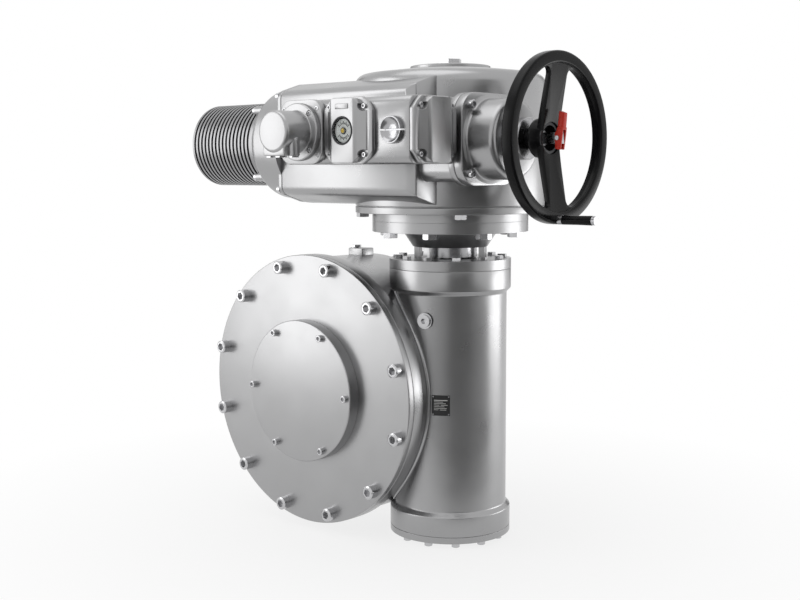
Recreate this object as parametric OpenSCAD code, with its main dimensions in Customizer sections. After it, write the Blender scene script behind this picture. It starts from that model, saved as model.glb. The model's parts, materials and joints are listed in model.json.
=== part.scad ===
// Electric valve actuator: a multi-turn drive with controls on a worm gearbox.
// Millimetres. The origin is the centre of the valve flange's face, on the axis of the output.
// +Y points out of the valve flange, +Z up along the worm column, +X towards the handwheel.

/* [Gearbox gearing] */
// Module of the gearbox's worm and worm wheel
gear_module = 8; // [7.5:0.1:8.2]
// Teeth on the gearbox's worm wheel
wheel_teeth = 51; // [48:1:52]
// Pitch diameter of the gearbox's worm
worm_pitch_d = 120; // [116:1:128]
// Face width of the gearbox's worm wheel
wheel_width = 64; // [56:1:72]
// Length of the threaded part of the gearbox's worm
worm_thread_len = 190; // [150:1:210]

/* [Gearbox output] */
// Diameter of the valve flange, size F40
valve_flange_d = 475; // [460:1:500]
// Diameter of the valve flange's bolt circle
valve_flange_pcd = 406; // [400:1:412]
// Diameter of the tapped holes in the valve flange
valve_bolt_hole_d = 32; // [28:1:34]
// Number of tapped holes in the valve flange
valve_bolt_count = 8; // [4:4:12]
// Depth of the tapped holes in the valve flange
valve_bolt_hole_depth = 54; // [40:1:60]
// Diameter of the centring recess in the valve flange
valve_recess_d = 300; // [280:1:310]
// Depth of the centring recess
valve_recess_depth = 6; // [3:0.5:8]
// Thickness of the valve flange
valve_flange_t = 44; // [36:1:52]
// Distance from the valve flange's face to the middle of the worm wheel
flange_to_wheel = 140; // [136:1:150]
// Diameter of the output hub
hub_d = 220; // [210:1:226]
// Diameter of the drive sleeve's outside
sleeve_d = 190; // [180:1:194]
// Diameter of the bore for the valve's shaft
shaft_bore_d = 140; // [110:1:150]
// Width of the keyways in the shaft bore
keyway_w = 36; // [28:1:40]
// Depth of the keyways beyond the shaft bore
keyway_depth = 8; // [5:0.5:10]
// Wall of the plain bushes round the hub
bush_t = 12; // [8:0.5:14]
// Length of the plain bushes
bush_len = 46; // [36:1:48]

/* [Gear housing] */
// Width by which the large front cover stands out round the housing
cover_edge = 9; // [7:0.5:14]
// Thickness of the large front cover
cover_t = 16; // [12:1:20]
// From the middle of the worm wheel to the front cover's seat
cover_seat = 181; // [170:1:190]
// Thickness of the housing's flange behind the front cover
cover_flange_t = 33; // [28:1:40]
// Diameter of the gear housing behind that flange
body_d = 604; // [598:1:612]
// From the middle of the worm wheel to the back edge of the housing
body_back = 38; // [38:1:44]
// Wall of the gear housing
housing_wall = 17; // [12:1:20]
// Number of front cover screws
cover_screw_count = 12; // [8:1:16]
// Diameter of the end cap over the output
end_cap_d = 325; // [318:1:340]
// Thickness of the end cap
end_cap_t = 28; // [20:1:32]
// Diameter of the end cap's bolt circle
end_cap_pcd = 297; // [290:1:300]
// Number of end cap screws
end_cap_screw_count = 6; // [4:1:8]

/* [Worm column] */
// Diameter of the worm column
column_d = 255; // [250:1:262]
// Diameter of the rings at both ends of the column
column_ring_d = 274; // [270:1:284]
// Bore of the column and outside diameter of the worm's bearings
column_bore_d = 200; // [194:1:204]
// Height of the column's top face over the housing's edge beside it
column_rise = 10; // [4:1:20]
// Depth of the column's bottom face under the housing's edge beside it
column_drop = 29; // [20:1:38]
// Height of the straight part of the end rings
column_ring_h = 44; // [36:1:52]
// Height of the cone between end ring and column
column_ring_cone = 13; // [8:1:18]
// Thickness of the bottom cover
bottom_cover_t = 14; // [12:1:18]
// Diameter of the bolt circle at both ends of the column
column_pcd = 236; // [232:1:240]
// Number of bolts at each end of the column
column_bolt_count = 12; // [8:1:16]
// Diameter of the worm's shaft in its bearings
worm_shaft_d = 80; // [74:1:84]
// Distance of the worm's bearings from the output axis
worm_bearing_pos = 165; // [150:1:175]
// Width of the worm's bearings
worm_bearing_w = 44; // [36:1:48]

/* [Mounting yoke] */
// Thickness of the yoke's foot on the column
yoke_foot_t = 22; // [18:1:26]
// Diameter of the yoke's legs
yoke_leg_d = 168; // [160:1:176]
// Radial thickness of the yoke's legs
yoke_leg_t = 14; // [10:1:18]
// Width of each leg
yoke_leg_w = 18; // [14:1:26]
// Height of the windows between the legs
yoke_window_h = 26; // [20:1:32]
// Height from the yoke's foot to the underside of the drive flange
yoke_height = 60.5; // [54:0.5:70]
// Diameter of the cone where it meets the drive flange
yoke_cone_d = 214; // [200:1:230]
// Diameter of the drive flange, size F30
drive_flange_d = 350; // [342:1:360]
// Thickness of the yoke's drive flange
yoke_flange_t = 23.5; // [18:0.5:28]
// Thickness of the actuator's output flange
output_flange_t = 18.5; // [14:0.5:24]
// Number of drive flange bolts
drive_bolt_count = 8; // [4:4:12]

/* [Actuator gearing] */
// Module of the actuator's worm and worm wheel
drive_module = 6; // [5.8:0.1:6.1]
// Teeth on the actuator's worm wheel
drive_wheel_teeth = 40; // [38:1:40]
// Threads on the actuator's worm
drive_worm_starts = 2; // [2:1:2]
// Pitch diameter of the actuator's worm
drive_worm_pitch_d = 60; // [58:1:64]
// Face width of the actuator's worm wheel
drive_wheel_width = 32; // [26:1:36]
// Length of the threaded part of the actuator's worm
drive_worm_len = 90; // [70:1:110]
// Diameter of the hollow shaft
hollow_shaft_d = 110; // [100:1:114]
// Bore of the hollow shaft
hollow_shaft_bore = 60; // [40:1:70]

/* [Actuator housing] */
// Diameter of the actuator's drum
drum_d = 425; // [420:1:440]
// Height of the drum's lower flange
drum_flange_h = 14.5; // [12:0.5:20]
// Height of the motor and handwheel axis over the drum's bottom
axis_rise = 154.5; // [148:0.5:162]
// Height of the drum's shoulder over the motor axis
drum_shoulder = 124; // [116:1:132]
// Height of the drum's dome over its shoulder
drum_dome_h = 37; // [30:1:44]
// Radius of the drum's rounded shoulder
shoulder_r = 22; // [14:1:30]
// Wall of the actuator housing
drive_wall = 16; // [12:1:20]
// Diameter of the drum's top plate
top_plate_d = 178; // [160:1:190]
// Height of the top plate
top_plate_h = 12; // [8:1:16]
// From the column's axis to the casing's motor end
casing_left = 276; // [266:1:286]
// From the column's axis to the casing's handwheel end
casing_right = 110; // [106:1:116]
// Distance from the motor axis to the casing's front face
casing_depth = 106; // [102:1:112]
// Half of the height of the casing's front face
casing_face_half = 111.5; // [108:0.5:116]
// Half of the casing's height over the motor axis
casing_half = 135.5; // [130:0.5:142]
// From the column's axis to the end of the handwheel neck
neck_end = 204; // [198:1:214]
// Half of the height and width of the handwheel neck
neck_half = 85; // [82:1:88]

/* [Motor] */
// Diameter of the motor bell
bell_d = 250; // [244:1:258]
// Length of the motor bell's round part
bell_len = 75; // [66:1:84]
// Length of the cone from the bell to the motor's flange
bell_cone = 45; // [36:1:54]
// Diameter of the motor's flange
motor_flange_d = 226; // [222:1:232]
// Diameter of the cooling fins
fin_d = 193; // [188:1:198]
// Depth of the cooling fins
fin_depth = 12; // [8:1:14]
// Number of cooling fins
fin_count = 16; // [12:1:18]
// Length of the finned motor housing
motor_len = 200; // [180:1:220]
// Wall of the motor housing under the fins
motor_wall = 6; // [4:0.5:8]
// Diameter of the rotor
rotor_d = 98; // [90:1:100]
// Air gap between rotor and stator
air_gap = 1; // [0.6:0.1:2]

/* [Hand drive] */
// Diameter of the bonnet's barrel
bonnet_d = 162; // [156:1:168]
// Half of the width of the bonnet's square flange
bonnet_flange_half = 93; // [90:1:97]
// Thickness of the bonnet's square flange
bonnet_flange_t = 20; // [16:1:24]
// Length of the bonnet's barrel
bonnet_len = 67; // [60:1:76]
// Half of the distance between the bonnet's screws
bonnet_screw_half = 68; // [66:0.5:70]
// Diameter of the collar on the bonnet
collar_d = 83; // [78:1:88]
// Length of the collar
collar_len = 30; // [24:1:36]
// Diameter of the handwheel
handwheel_d = 333; // [320:1:360]
// Width and thickness of the handwheel's rim
rim_w = 24; // [20:1:28]
// Width of the handwheel's spokes
spoke_w = 56; // [44:1:60]
// Thickness of the handwheel's spokes
spoke_t = 10; // [8:1:14]
// Distance from the back of the hub to the middle of the rim
rim_offset = 63; // [58:1:68]
// Diameter of the handwheel's hub
hub_ring_d = 77; // [70:1:80]
// Diameter of the handwheel's shaft
hand_shaft_d = 30; // [26:1:34]
// Diameter of the crank grip
grip_d = 18.5; // [16:0.5:24]
// Length of the crank grip
grip_len = 66; // [50:1:80]
// Length of the change-over lever
lever_len = 74; // [66:1:90]

/* [Controls] */
// Height of the controls' axis over the motor axis
control_rise = 16; // [10:1:22]
// Height and depth of the control housing
control_size = 130; // [126:1:136]
// From the column's axis to the control housing's plug end
control_left = 131; // [124:1:138]
// From the column's axis to the control housing's cover end
control_right = 212; // [208:1:218]
// Half of the distance between a cover's screws
cover_screw_half = 46.5; // [45:0.5:48]
// Height of the raised part of a cover
cover_raise = 16; // [10:1:20]
// Thickness of a cover's rim
cover_rim_t = 10; // [8:1:14]
// From the column's axis to the display cover's centre
display_offset = 61; // [58:1:66]
// From the column's axis to the plug connector's centre
plug_offset = 66; // [62:1:70]
// From the column's axis to the side plug's centre
side_plug_offset = 171; // [166:1:174]
// Diameter of the window over the dial
window_d = 56; // [48:1:60]
// Diameter of the plug connector
plug_d = 84; // [78:1:90]
// Length of the plug connector
plug_len = 66; // [56:1:76]
// Depth of the cable entries under the plug's axis
entry_drop = 48; // [44:1:56]

/* [Fits] */
// Radial running clearance of shafts in bushes and of balls in their rings
running_fit = 0.05; // [0.02:0.01:0.1]
// Clearance round seated pieces and screws
seat_fit = 0.05; // [0.02:0.01:0.1]

/* [Hidden] */
$fn = 96;

// Small distance by which cutting shapes run past the faces that they cut
cut = 1;
// Gear geometry
pressure_angle = 20;
backlash_share = 0.08;
wheel_pitch_r = gear_module * wheel_teeth / 2;
worm_x = wheel_pitch_r + worm_pitch_d / 2;
wheel_y = -flange_to_wheel;
drive_wheel_pitch_r = drive_module * drive_wheel_teeth / 2;
drive_y = wheel_y - drive_wheel_pitch_r - drive_worm_pitch_d / 2;
worm_lead = PI * gear_module;
drive_worm_lead = PI * drive_module * drive_worm_starts;
// Radii of the gear housing
body_r = body_d / 2;
cover_r = body_r + cover_edge;
cover_pcd = 2 * (cover_r - 22);
cavity_r = body_r - housing_wall;
cover_opening_r = cover_pcd / 2 - 27;
hub_r = hub_d / 2;
bush_r = hub_r + bush_t;
sleeve_r = sleeve_d / 2;
seal_r = bush_r + 3;
valve_opening_r = hub_r + 6;
seal_w = 14;
// Places along the output axis
cover_seat_y = wheel_y - cover_seat;
cover_face_y = cover_seat_y - cover_t;
end_cap_face_y = cover_face_y - end_cap_t;
flange_back_y = cover_seat_y + cover_flange_t;
back_wall_y = wheel_y + body_back;
rear_bush_y = back_wall_y + 4;
rear_seal_y = rear_bush_y + bush_len + 2;
front_bush_y = cover_face_y + 12;
hub_front_y = cover_face_y + 2;
hub_back_y = -10;
sleeve_front_y = hub_front_y + 35;
sleeve_back_y = -8;
cover_boss_y = front_bush_y + bush_len + 2;
cover_boss_r = bush_r + 28;
// Radii and heights of the column, the yoke and the drum
ring_r = column_ring_d / 2;
bore_r = column_bore_d / 2;
column_edge = round(sqrt(pow(body_r, 2) - pow(worm_x - ring_r, 2)));
column_top = column_edge + column_rise;
column_bottom = column_edge + column_drop;
foot_top = column_top + yoke_foot_t;
window_top = foot_top + yoke_window_h;
yoke_flange_z = foot_top + yoke_height;
yoke_top = yoke_flange_z + yoke_flange_t;
drum_bottom = yoke_top + output_flange_t;
drive_axis_z = drum_bottom + axis_rise;
leg_r = yoke_leg_d / 2;
yoke_bore_r = leg_r - yoke_leg_t;
drive_flange_r = drive_flange_d / 2;
drive_flange_pcd = drive_flange_d - 52;
drum_r = drum_d / 2;
drum_flange_r = max(drum_r, drive_flange_r + 37.5);
shoulder_z = drive_axis_z + drum_shoulder;
dome_z = shoulder_z + drum_dome_h;
drum_inner_r = drum_r - drive_wall;
roof_z = dome_z - drive_wall - 9;
leg_angles = [0, 110, 180, 290];
// Hollow shaft and its bearings
shaft_r = hollow_shaft_d / 2;
neck_r = shaft_r - 10;
coupling_r = yoke_bore_r - 10;
coupling_bottom = foot_top + 3;
coupling_top = yoke_top - 4;
worm_top = coupling_bottom + 36;
hollow_shaft_bottom = worm_top + 2;
hollow_shaft_top = roof_z - 3;
shaft_bearing_r = shaft_r + 35;
shaft_bearing_w = 28;
lower_bearing_z = drum_bottom + 15.5;
drum_floor_z = lower_bearing_z + shaft_bearing_w;
upper_bearing_z = roof_z - 10 - shaft_bearing_w;
worm_shaft_r = worm_shaft_d / 2;
worm_bearing_in = worm_bearing_pos - worm_bearing_w / 2;
worm_bearing_out = worm_bearing_pos + worm_bearing_w / 2;
// Places along the motor axis
casing_x0 = worm_x - casing_left;
casing_x1 = worm_x + casing_right;
neck_x1 = worm_x + neck_end;
bell_flange_t = 12;
bell_x0 = casing_x0 - bell_len;
motor_x1 = bell_x0 - bell_cone * 0.75;
fins_x1 = bell_x0 - bell_cone;
fins_x0 = fins_x1 - motor_len;
fin_r = fin_d / 2;
fin_root_r = fin_r - fin_depth;
stator_r = fin_root_r - motor_wall;
rotor_r = rotor_d / 2;
motor_shaft_r = 15;
drive_shaft_r = 20;
drive_bearing_r = 40;
drive_bearing_w = 22;
rear_bearing_r = 35;
rear_bearing_w = 16;
carrier_off = 103.5;
carrier_t = 26;
stator_len = 135;
stator_x0 = fins_x0 + 32;
shaft_x0 = fins_x0 + 4;
shaft_x1 = neck_x1 - 39;
rear_bearing_x = fins_x0 + 8;
bell_bearing_x = motor_x1 + 10;
bonnet_x1 = neck_x1 + bonnet_flange_t;
bonnet_end = bonnet_x1 + bonnet_len;
collar_end = bonnet_end + collar_len;
hub_x0 = collar_end + 0.5;
rim_x = hub_x0 + rim_offset;
rim_r = handwheel_d / 2 - rim_w / 2;
hand_shaft_r = hand_shaft_d / 2;
hand_shaft_x0 = shaft_x1 + 11;
tongue_x0 = hub_x0 + 32.5;
tongue_t = 8;
tongue_h = 22;
lever_x = tongue_x0 + 36.5;
lever_pin_r = 3;
hub_hollow_r = hand_shaft_r + 10;
hub_ring_t = 3;
hub_x1 = hub_x0 + 44;
crank_angle = 3;
crank_r = rim_r + 3;
crank_base_x = rim_x + rim_w / 2;
crank_collar = 10.5;
// Controls
control_z = drive_axis_z + control_rise;
casing_front_y = drive_y - casing_depth;
control_half = control_size / 2;
control_front_y = casing_front_y - control_size;
control_chamfer = 12;
control_wall = 13;
control_x0 = worm_x - control_left;
control_x1 = worm_x + control_right;
display_x = worm_x + display_offset;
plug_x = worm_x - plug_offset;
side_plug_x = worm_x + side_plug_offset;
side_plug_r = 26.5;
cover_corner_r = 42;
cover_band_half = 30;
cover_body_half = 53;
window_r = window_d / 2;
plug_r = plug_d / 2;
plug_ring_r = 58;
plug_ring_t = 12;
plug_flange_t = 14;
plug_ring_y = control_front_y - plug_flange_t;
plug_base_y = plug_ring_y - plug_ring_t;
plug_end_y = plug_base_y - plug_len;
plate_half = display_offset + plug_offset - control_half - 1.5;
// Screws: [shank diameter, head diameter or width over flats, head height]
cover_screw = [20, 30, 20];
end_cap_screw = [10, 16, 10];
column_bolt = [12, 18, 7.5];
column_screw = [12, 18, 12];
drive_bolt = [20, 30, 12.5];
drum_bolt = [16, 24, 10];
motor_screw = [10, 16, 10];
bonnet_screw = [12, 18, 12];
control_screw = [6, 10, 5];
// Small features
cover_screw_depth = 28;
column_bolt_depth = 24;
oil_boss_r = 20;
oil_boss_h = 3;
oil_plug_r = 12;
oil_plug_angle = 14;
oil_plug_drop = 64;
oil_plug_z = column_top - column_ring_h - oil_plug_drop;
vent_x = -10;
vent_y = wheel_y - 18;
vent_pad_h = 16;
vent_plug_r = 8;
vent_pad_w = 45;
vent_pad_front = 32;
vent_pad_back = 9;
seal_cord_r = 2.5;
end_cap_screw_depth = 20;
shaft_seal_r = worm_shaft_r + 12;
nameplate_gap = 5.4;
nameplate_z = -9;
nameplate_w = 40;
nameplate_h = 45;
nameplate_t = 1.2;
nameplate_r = column_d / 2 + 0.3;
nameplate_angle = asin((body_r + nameplate_gap + nameplate_w / 2 - worm_x) / (column_d / 2));
drive_bolt_depth = 17;
drum_bolt_depth = 26;
drum_bolt_r = drum_flange_r - 16;
top_hole_r = 40;
casing_screw_y = 96;
casing_screw_z = 103;
motor_screw_depth = 24;
motor_screw_r = 107;
motor_screw_angle = 45;
motor_screw_x = motor_x1 - 2;
crank_pin_r = 4;
casing_corner_r = 22;
casing_end_bevel = [22, 9];
lever_w = 16;
lever_tail = 23;
dial_spindle_r = 3;
dial_face = cover_rim_t + cover_raise - 5;
side_plug_thread_r = 20;
control_screw_depth = 7.5;
plug_screw_r = 51;
entry_boss_r = 12;
entry_boss_x = plug_r - entry_boss_r;
plug_end_z = plug_ring_t + plug_len;
// Cable entries: [across, back from the plug's end, radius of the thread]
entries = [[-18, 16, 9], [8, 16, 9], [entry_boss_x, 29, 8]];

// Moves a shape to the axis of the worm column
module at_column() {
    translate([worm_x, wheel_y, 0]) children();
}

// Lays a shape's Z axis along +Y, on the output axis
module along_y() {
    rotate([-90, 0, 0]) children();
}

// Lays a shape's Z axis along +X
module along_x() {
    rotate([0, 90, 0]) children();
}

// Moves a shape to the motor axis
module at_drive() {
    translate([0, drive_y, drive_axis_z]) children();
}

// Lays a shape's Z axis along +X, on the motor axis
module on_drive_axis() {
    at_drive() along_x() children();
}

// Turns points of [radius, height] about the Z axis
module turned(points) {
    rotate_extrude() polygon(points);
}

// A cylinder from height z0 to z1
module rod(r, z0, z1) {
    translate([0, 0, z0]) cylinder(r = r, h = z1 - z0);
}

// A tube from height z0 to z1
module tube(r_out, r_in, z0, z1) {
    turned([[r_in, z0], [r_out, z0], [r_out, z1], [r_in, z1]]);
}

// Copies a shape round the Z axis
module around(count, r, first = 0) {
    for (i = [0 : count - 1])
        rotate([0, 0, first + i * 360 / count]) translate([r, 0, 0]) children();
}

// Copies a shape round a bolt circle, half a step off the axis
module staggered(count, circle_d) {
    around(count, circle_d / 2, 180 / count) children();
}

// A square with round corners, as an outline
module rounded_square(half, r) {
    square([2 * half, 2 * (half - r)], center = true);
    square([2 * (half - r), 2 * half], center = true);
    for (x = [-1, 1], y = [-1, 1])
        translate([x * (half - r), y * (half - r)]) circle(r = r);
}

// Extrudes a [y, z] outline along X
module extruded_x(x0, x1) {
    translate([x0, 0, 0]) rotate([90, 0, 90]) linear_extrude(x1 - x0) children();
}

// Extrudes an [x, z] outline along Y
module extruded_y(y0, y1) {
    translate([0, y1, 0]) rotate([90, 0, 0]) linear_extrude(y1 - y0) children();
}

// Hexagon socket screw: head above the XY plane, shank below it
module socket_screw(size, shank_len) {
    socket_r = size[1] * 0.31;
    difference() {
        union() {
            screw_head(size, size[1] / 2);
            translate([0, 0, -shank_len]) cylinder(d = size[0], h = shank_len + size[2] / 2);
        }
        translate([0, 0, size[2] / 2]) cylinder(r = socket_r, h = size[2], $fn = 6);
    }
}

// Screw head with a chamfered edge
module screw_head(size, r) {
    edge = size[2] * 0.1;
    turned([[0, 0], [r, 0], [r, size[2] - edge], [r - edge * 1.5, size[2]], [0, size[2]]]);
}

// Hexagon head bolt: head above the XY plane, shank below it
module hex_bolt(size, shank_len) {
    intersection() {
        cylinder(r = size[1] / sqrt(3), h = size[2], $fn = 6);
        screw_head(size, size[1] / sqrt(3));
    }
    translate([0, 0, -shank_len]) cylinder(d = size[0], h = shank_len + size[2] / 2);
}

// Hole for a screw: runs from a little above the XY plane down to a depth
module screw_hole(size, depth) {
    translate([0, 0, -depth]) cylinder(r = size[0] / 2 + seat_fit, h = depth + cut);
}

// Worm wheel about Z, with a gap between two teeth at angle 0, matching a right-handed worm
module toothed_wheel(m, teeth, width, lead_angle, bore) {
    pitch_r = m * teeth / 2;
    gap_half = PI * m / 4 * (1 + backlash_share);
    deep = 1.25 * m;
    high = m + 2;
    flank = tan(pressure_angle);
    difference() {
        translate([0, 0, -width / 2]) cylinder(r = pitch_r + m, h = width);
        translate([0, 0, -width]) cylinder(r = bore, h = 2 * width);
        around(teeth, pitch_r)
            rotate([-lead_angle, 0, 0])
                linear_extrude(width * 1.5, center = true)
                    polygon([[-deep, -gap_half + deep * flank], [high, -gap_half - high * flank],
                        [high, gap_half + high * flank], [-deep, gap_half - deep * flank]]);
    }
}

// Radius of a worm's cross section at an angle from the middle of its thread's crest
function thread_radius(angle, m, pitch_r, starts) =
    let (share = 360 / starts,
        a = abs((angle + share * 100.5) % share - share / 2),
        away = a / 360 * PI * m * starts,
        half = PI * m / 4 * (1 - backlash_share),
        out = (half - away) / tan(pressure_angle))
    pitch_r + min(m, max(-1.2 * m, out));

// Right-handed worm thread about Z, with a crest at angle 0 in its middle
module worm_thread(m, pitch_r, starts, len, points, steps) {
    lead = PI * m * starts;
    rotate([0, 0, -180 * len / lead])
        linear_extrude(len, center = true, twist = -360 * len / lead,
                slices = ceil(steps * len / lead), segments = points)
            polygon([for (i = [0 : points - 1])
                let (a = i * 360 / points, r = thread_radius(a, m, pitch_r, starts))
                [r * cos(a), r * sin(a)]]);
}

// Sizes of a ball bearing's ring wall, ball radius and ball count
function ring_wall(bore, outer) = 0.28 * (outer - bore);
function ball_r(bore, outer) = (outer - bore) / 2 - ring_wall(bore, outer) - running_fit;
function ball_count(bore, outer) =
    floor(180 / asin(1.2 * ball_r(bore, outer) / ((outer + bore) / 2)));

// Outer ring of a ball bearing about Z, from z = 0
module outer_ring(bore, outer, w) {
    tube(outer - seat_fit, outer - ring_wall(bore, outer), 0, w);
}

// Inner ring and balls of a ball bearing about Z, from z = 0
module inner_ring(bore, outer, w) {
    tube(bore + ring_wall(bore, outer), bore + seat_fit, 0, w);
    around(ball_count(bore, outer), (bore + outer) / 2)
        translate([0, 0, w / 2]) sphere(r = ball_r(bore, outer) , $fn = 48);
}

// Cast gear housing with its worm column and its valve flange
module gear_housing() {
    color("silver") difference() {
        union() {
            along_y() turned([[0, 0], [valve_flange_d / 2, 0], [valve_flange_d / 2, -valve_flange_t],
                [body_r, back_wall_y], [body_r, flange_back_y], [cover_r, flange_back_y],
                [cover_r, cover_seat_y], [0, cover_seat_y]]);
            at_column() turned([[0, -column_bottom], [ring_r, -column_bottom],
                [ring_r, column_ring_h - column_bottom],
                [column_d / 2, column_ring_h + column_ring_cone - column_bottom],
                [column_d / 2, column_top - column_ring_h - column_ring_cone],
                [ring_r, column_top - column_ring_h], [ring_r, column_top], [0, column_top]]);
            vent_pad();
            oil_plug_place() rod(oil_boss_r, -30, oil_boss_h);
        }
        along_y() turned([[0, cover_seat_y - cut], [cover_opening_r, cover_seat_y - cut],
            [cover_opening_r, flange_back_y], [cavity_r, flange_back_y], [cavity_r, back_wall_y],
            [bush_r, back_wall_y], [bush_r, rear_seal_y], [seal_r, rear_seal_y],
            [seal_r, rear_seal_y + seal_w], [valve_opening_r, rear_seal_y + seal_w],
            [valve_opening_r, -valve_recess_depth], [valve_recess_d / 2, -valve_recess_depth],
            [valve_recess_d / 2, cut], [0, cut]]);
        at_column() rod(bore_r, -column_bottom - cut, column_top + cut);
        along_y() staggered(valve_bolt_count, valve_flange_pcd)
            rod(valve_bolt_hole_d / 2, -valve_bolt_hole_depth, cut);
        translate([0, cover_seat_y, 0]) rotate([90, 0, 0])
            staggered(cover_screw_count, cover_pcd)
                screw_hole(cover_screw, cover_screw_depth + cut);
        at_column() for (side = [0, 1])
            translate([0, 0, side == 0 ? column_top : -column_bottom]) rotate([180 * side, 0, 0])
                staggered(column_bolt_count, column_pcd)
                    screw_hole(column_bolt, column_bolt_depth + cut);
        oil_plug_place() rod(oil_plug_r + seat_fit, -column_d / 4, oil_boss_h + cut);
        translate([vent_x, vent_y, cavity_r - 10])
            cylinder(r = vent_plug_r + seat_fit, h = housing_wall + vent_pad_h + 20);
    }
}

// Raised pad on top of the gear housing
module vent_pad() {
    translate([-vent_pad_w / 2, wheel_y - vent_pad_front, body_r - 25])
        cube([vent_pad_w, vent_pad_front + vent_pad_back, vent_pad_h + 25]);
}

// Puts a shape's Z axis on the column's surface, pointing out at the oil plug
module oil_plug_place() {
    at_column() rotate([0, 0, oil_plug_angle]) translate([0, -column_d / 2, oil_plug_z])
        rotate([90, 0, 0]) children();
}

// Large round cover with the front bush's boss inside
module front_cover() {
    color("gainsboro") difference() {
        along_y() turned([[bush_r, cover_face_y], [cover_r, cover_face_y], [cover_r, cover_seat_y],
            [cover_boss_r, cover_seat_y], [cover_boss_r, cover_boss_y], [bush_r, cover_boss_y]]);
        translate([0, cover_face_y, 0]) rotate([90, 0, 0]) {
            staggered(cover_screw_count, cover_pcd)
                screw_hole(cover_screw, cover_t + cut);
            around(end_cap_screw_count, end_cap_pcd / 2)
                screw_hole(end_cap_screw, end_cap_screw_depth);
        }
        along_y() tube(cover_opening_r - 3 + seal_cord_r, cover_opening_r - 3 - seal_cord_r,
            cover_seat_y - 2 * seal_cord_r, cover_seat_y + cut);
    }
}

// Square-cut seal ring between the front cover and the housing
module front_cover_seal() {
    color("dimgray") along_y()
        tube(cover_opening_r - 3 + seal_cord_r - seat_fit, cover_opening_r - 3 - seal_cord_r + seat_fit,
            cover_seat_y - 2 * seal_cord_r + seat_fit, cover_seat_y);
}

// Hexagon socket screws of the front cover
module front_cover_screws() {
    color("lightgray") translate([0, cover_face_y, 0]) rotate([90, 0, 0])
        staggered(cover_screw_count, cover_pcd)
            socket_screw(cover_screw, cover_t + cover_screw_depth);
}

// Small round cap over the end of the output hub
module end_cap() {
    hollow_r = bush_r + 2;
    color("gainsboro") difference() {
        along_y() turned([[0, end_cap_face_y], [end_cap_d / 2, end_cap_face_y],
            [end_cap_d / 2, cover_face_y], [hollow_r, cover_face_y],
            [hollow_r, end_cap_face_y + 10], [0, end_cap_face_y + 10]]);
        translate([0, end_cap_face_y, 0]) rotate([90, 0, 0])
            around(end_cap_screw_count, end_cap_pcd / 2) screw_hole(end_cap_screw, end_cap_t + cut);
    }
}

// Hexagon socket screws of the end cap
module end_cap_screws() {
    color("lightgray") translate([0, end_cap_face_y, 0]) rotate([90, 0, 0])
        around(end_cap_screw_count, end_cap_pcd / 2)
            socket_screw(end_cap_screw, end_cap_t + end_cap_screw_depth - 2);
}

// Plain bronze bushes that carry the output hub
module wheel_bushes() {
    color("darkgoldenrod") along_y() for (y = [front_bush_y, rear_bush_y])
        tube(bush_r - seat_fit, hub_r + running_fit, y, y + bush_len);
}

// Lip seal round the output hub
module output_seal() {
    color("dimgray") along_y()
        tube(seal_r - seat_fit, hub_r + running_fit, rear_seal_y + 1, rear_seal_y + seal_w - 1);
}

// Worm wheel of the gearbox with its hub
module worm_wheel() {
    web_half = wheel_width / 4;
    color("darkgoldenrod") translate([0, wheel_y, 0]) along_y() {
        toothed_wheel(gear_module, wheel_teeth, wheel_width,
            atan(gear_module / worm_pitch_d), wheel_pitch_r - 5 * gear_module);
        tube(wheel_pitch_r - 5 * gear_module, hub_r, -web_half, web_half);
    }
    color("darkgoldenrod") along_y() tube(hub_r, sleeve_r + seat_fit, hub_front_y, hub_back_y);
}

// Sleeve with the keyed bore for the valve's shaft
module drive_sleeve() {
    color("slategray") along_y() difference() {
        tube(sleeve_r, shaft_bore_d / 2, sleeve_front_y, sleeve_back_y);
        for (side = [-1, 1])
            translate([side * shaft_bore_d / 4, 0, (sleeve_front_y + sleeve_back_y) / 2])
                cube([shaft_bore_d / 2 + 2 * keyway_depth, keyway_w,
                    sleeve_back_y - sleeve_front_y + 2 * cut], center = true);
    }
}

// Vertical worm of the gearbox with its shaft
module gearbox_worm() {
    half = worm_thread_len / 2;
    shoulder_r = worm_pitch_d / 2 - 1.2 * gear_module;
    color("slategray") at_column() {
        rotate([0, 0, 180]) worm_thread(gear_module, worm_pitch_d / 2, 1, worm_thread_len, 24, 16);
        for (side = [-1, 1])
            translate([0, 0, side > 0 ? half - cut : -worm_bearing_in])
                cylinder(r = shoulder_r - 0.5, h = worm_bearing_in - half + cut);
        rod(worm_shaft_r, worm_bearing_in - cut, worm_top);
        rod(worm_shaft_r, -worm_bearing_out, cut - worm_bearing_in);
    }
}

// Cover under the column, with the spigot that holds the lower worm bearing
module column_bottom_cover() {
    color("silver") at_column() difference() {
        union() {
            rod(ring_r, -column_bottom - bottom_cover_t, -column_bottom);
            tube(bore_r - seat_fit, bore_r - 16, -column_bottom - cut, -worm_bearing_out - seat_fit);
        }
        translate([0, 0, -column_bottom - bottom_cover_t]) rotate([180, 0, 0])
            staggered(column_bolt_count, column_pcd)
                screw_hole(column_screw, bottom_cover_t + cut);
    }
}

// Hexagon socket screws under the column
module column_bottom_screws() {
    color("lightgray") at_column() translate([0, 0, -column_bottom - bottom_cover_t])
        rotate([180, 0, 0]) staggered(column_bolt_count, column_pcd)
            socket_screw(column_screw, bottom_cover_t + column_bolt_depth);
}

// Hexagon bolts that hold the yoke on the column
module column_top_bolts() {
    color("lightgray") at_column() translate([0, 0, foot_top])
        staggered(column_bolt_count, column_pcd)
            hex_bolt(column_bolt, yoke_foot_t + column_bolt_depth);
}

// Lip seal round the worm's shaft
module worm_shaft_seal() {
    color("dimgray") at_column()
        tube(shaft_seal_r - 2 * seat_fit, worm_shaft_r + running_fit, column_top + 5, foot_top - 4);
}

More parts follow.
